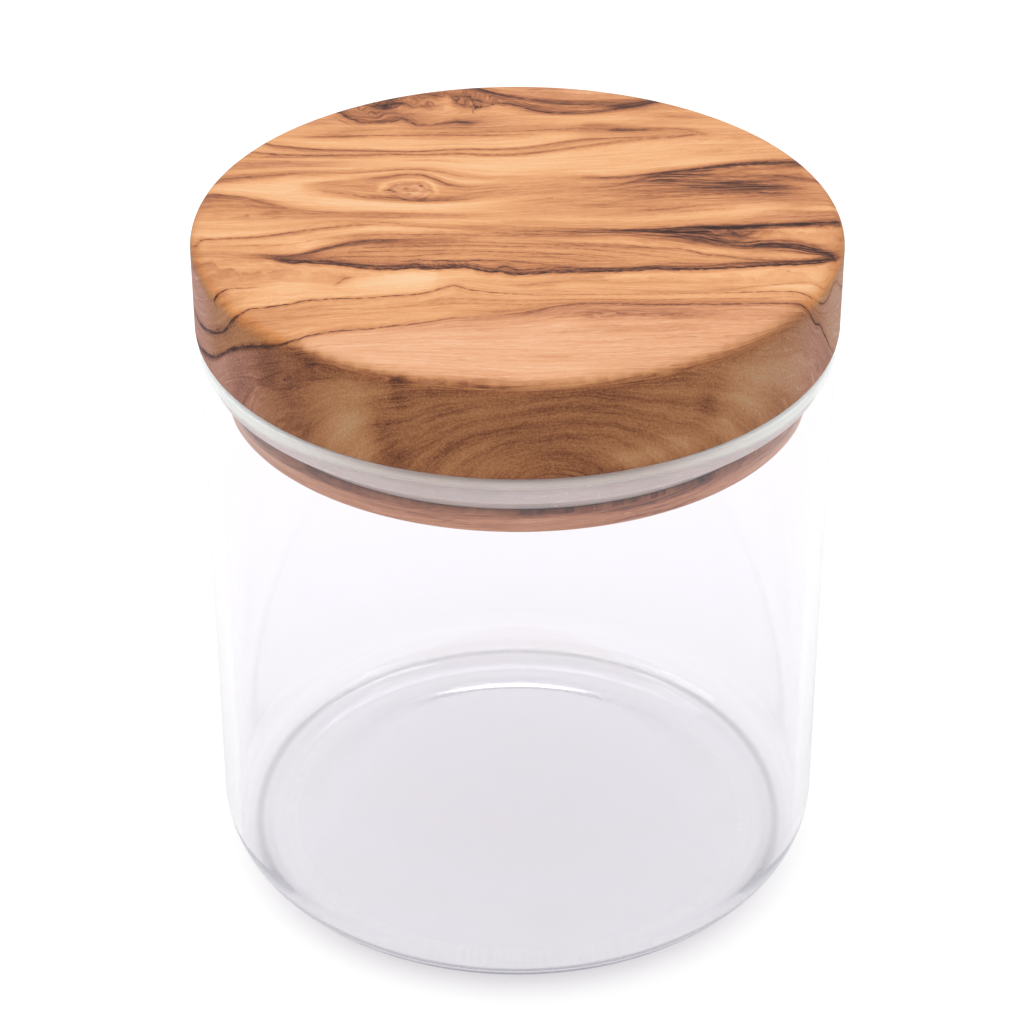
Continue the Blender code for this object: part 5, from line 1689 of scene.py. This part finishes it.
light_left = maths(tree, "SUBTRACT", 1.0, tone)
for group in range(VEIN_GROUPS):
    values = node(tree, "ShaderNodeAttribute", {"attribute_name": "veins_%d" % group})
    away, wide, dark = node(tree, "ShaderNodeSeparateXYZ", None, Vector=values.outputs["Vector"]).outputs
    dark = maths(tree, "MULTIPLY", dark, VEIN_STRENGTH, clamp=True)
    wave = maths(tree, "MULTIPLY", maths(tree, "SUBTRACT", sway, 0.5), VEIN_SWAY)
    wave = maths(tree, "MULTIPLY_ADD", maths(tree, "SUBTRACT", jitter, 0.5), VEIN_JITTER, wave)
    away = maths(tree, "ABSOLUTE", maths(tree, "ADD", away, wave))
    reach = maths(tree, "MULTIPLY", wide, mapped(tree, line_noise, 0.3, 0.7, 0.6, 1.5))
    core = mapped(tree, away, 0.0, reach, 1.0, 0.0)
    soft = mapped(tree, away, 0.0, maths(tree, "MULTIPLY", reach, VEIN_HALO_REACH), 1.0, 0.0)
    halo = maths(tree, "MULTIPLY", soft, maths(tree, "MULTIPLY", dark, VEIN_HALO_SHARE))
    strength = maths(tree, "MULTIPLY", dark, mapped(tree, line_noise, 0.36, 0.58, 0.45, 1.0))
    cover = maths(tree, "MAXIMUM", maths(tree, "MULTIPLY", core, strength), halo)
    light_left = maths(tree, "MULTIPLY", light_left, maths(tree, "SUBTRACT", 1.0, cover))
shade = maths(tree, "SUBTRACT", 1.0, light_left, clamp=True)
print("wood nodes with the veins:", len(tree.nodes))

# %% [markdown]
# The colours are picked as they look in bright light, so they are dimmed by one share before the
# light falls on them. A cast multiplies the three colours of a place: above 1 it adds light to one
# of them. The side faces away from the lamp and loses red and green, its far ends carry a painted
# sheen, the rounded edge turns amber, and the plug, seen through the glass, is painted paler and
# cooler: painted light that lifts it out of the shade it lies in under the disc, on wood that is
# paler too.

# %% Colour and finish
EXPOSED = 0.365
STOPS = ((0.00, (254, 210, 163)), (0.15, (251, 189, 135)), (0.30, (234, 166, 113)),
         (0.45, (212, 143, 95)), (0.60, (180, 113, 76)), (0.80, (120, 74, 55)), (1.00, (56, 31, 28)))
PINK_CAST = (0.97, 0.98, 1.14, 1.0)
SIDE_CAST = (0.99, 0.935, 0.89, 1.0)
AMBER_CAST = (1.10, 0.98, 0.80, 1.0)
SHEEN_CAST = (1.16, 1.28, 1.90, 1.0)
PLUG_PAINTED_LIGHT = (1.97, 1.95, 2.22, 1.0)
PORE = (0.075, 0.028, 0.012, 1.0)
PORE_SHARE = 0.30
RELIEF_STRENGTH = 0.25
RELIEF_HEIGHT = 0.00008
SHINE = 0.12


def cast_on(share, colour, cast):
    """The colour, multiplied by the cast as far as the share goes."""
    return blended(tree, share, colour, blended(tree, 1.0, colour, cast, "MULTIPLY"))


ramp = node(tree, "ShaderNodeValToRGB", None, Fac=shade)
for i, (at, picked) in enumerate(STOPS):
    stop = ramp.color_ramp.elements[i] if i < 2 else ramp.color_ramp.elements.new(at)
    stop.position = at
    stop.color = (*[EXPOSED * v for v in linear(*picked)[:3]], 1.0)
colour = cast_on(pink_and_sheen, ramp.outputs["Color"], PINK_CAST)
colour = cast_on(calm, colour, SIDE_CAST)
colour = cast_on(mapped(tree, pink_and_sheen, 0.0, -1.0), colour, AMBER_CAST)
# Painted sheen where the pinkness is above 1.
colour = cast_on(mapped(tree, pink_and_sheen, 1.0, 2.0), colour, SHEEN_CAST)
# Painted light: the plug is brightened and cooled to lift it out of the shade under the disc.
colour = cast_on(plug, colour, PLUG_PAINTED_LIGHT)
pores = mapped(tree, fleck, 0.36, 0.26)
colour = blended(tree, maths(tree, "MULTIPLY", pores, PORE_SHARE), colour, PORE)
height = maths(tree, "ADD", maths(tree, "MULTIPLY", fibre, 0.6), maths(tree, "MULTIPLY", fleck, 0.4))
relief = node(tree, "ShaderNodeBump", None, Strength=RELIEF_STRENGTH, Distance=RELIEF_HEIGHT,
              Height=height)
rough = mapped(tree, fibre, 0.3, 0.7, 0.50, 0.62)
shader = node(tree, "ShaderNodeBsdfPrincipled", None, Base_Color=colour, Roughness=rough,
              Specular_IOR_Level=SHINE, Normal=relief.outputs[0])
tree.links.new(shader.outputs[0], out.inputs["Surface"])
lid.data.materials.append(wood)
print("wood nodes in all:", len(tree.nodes))
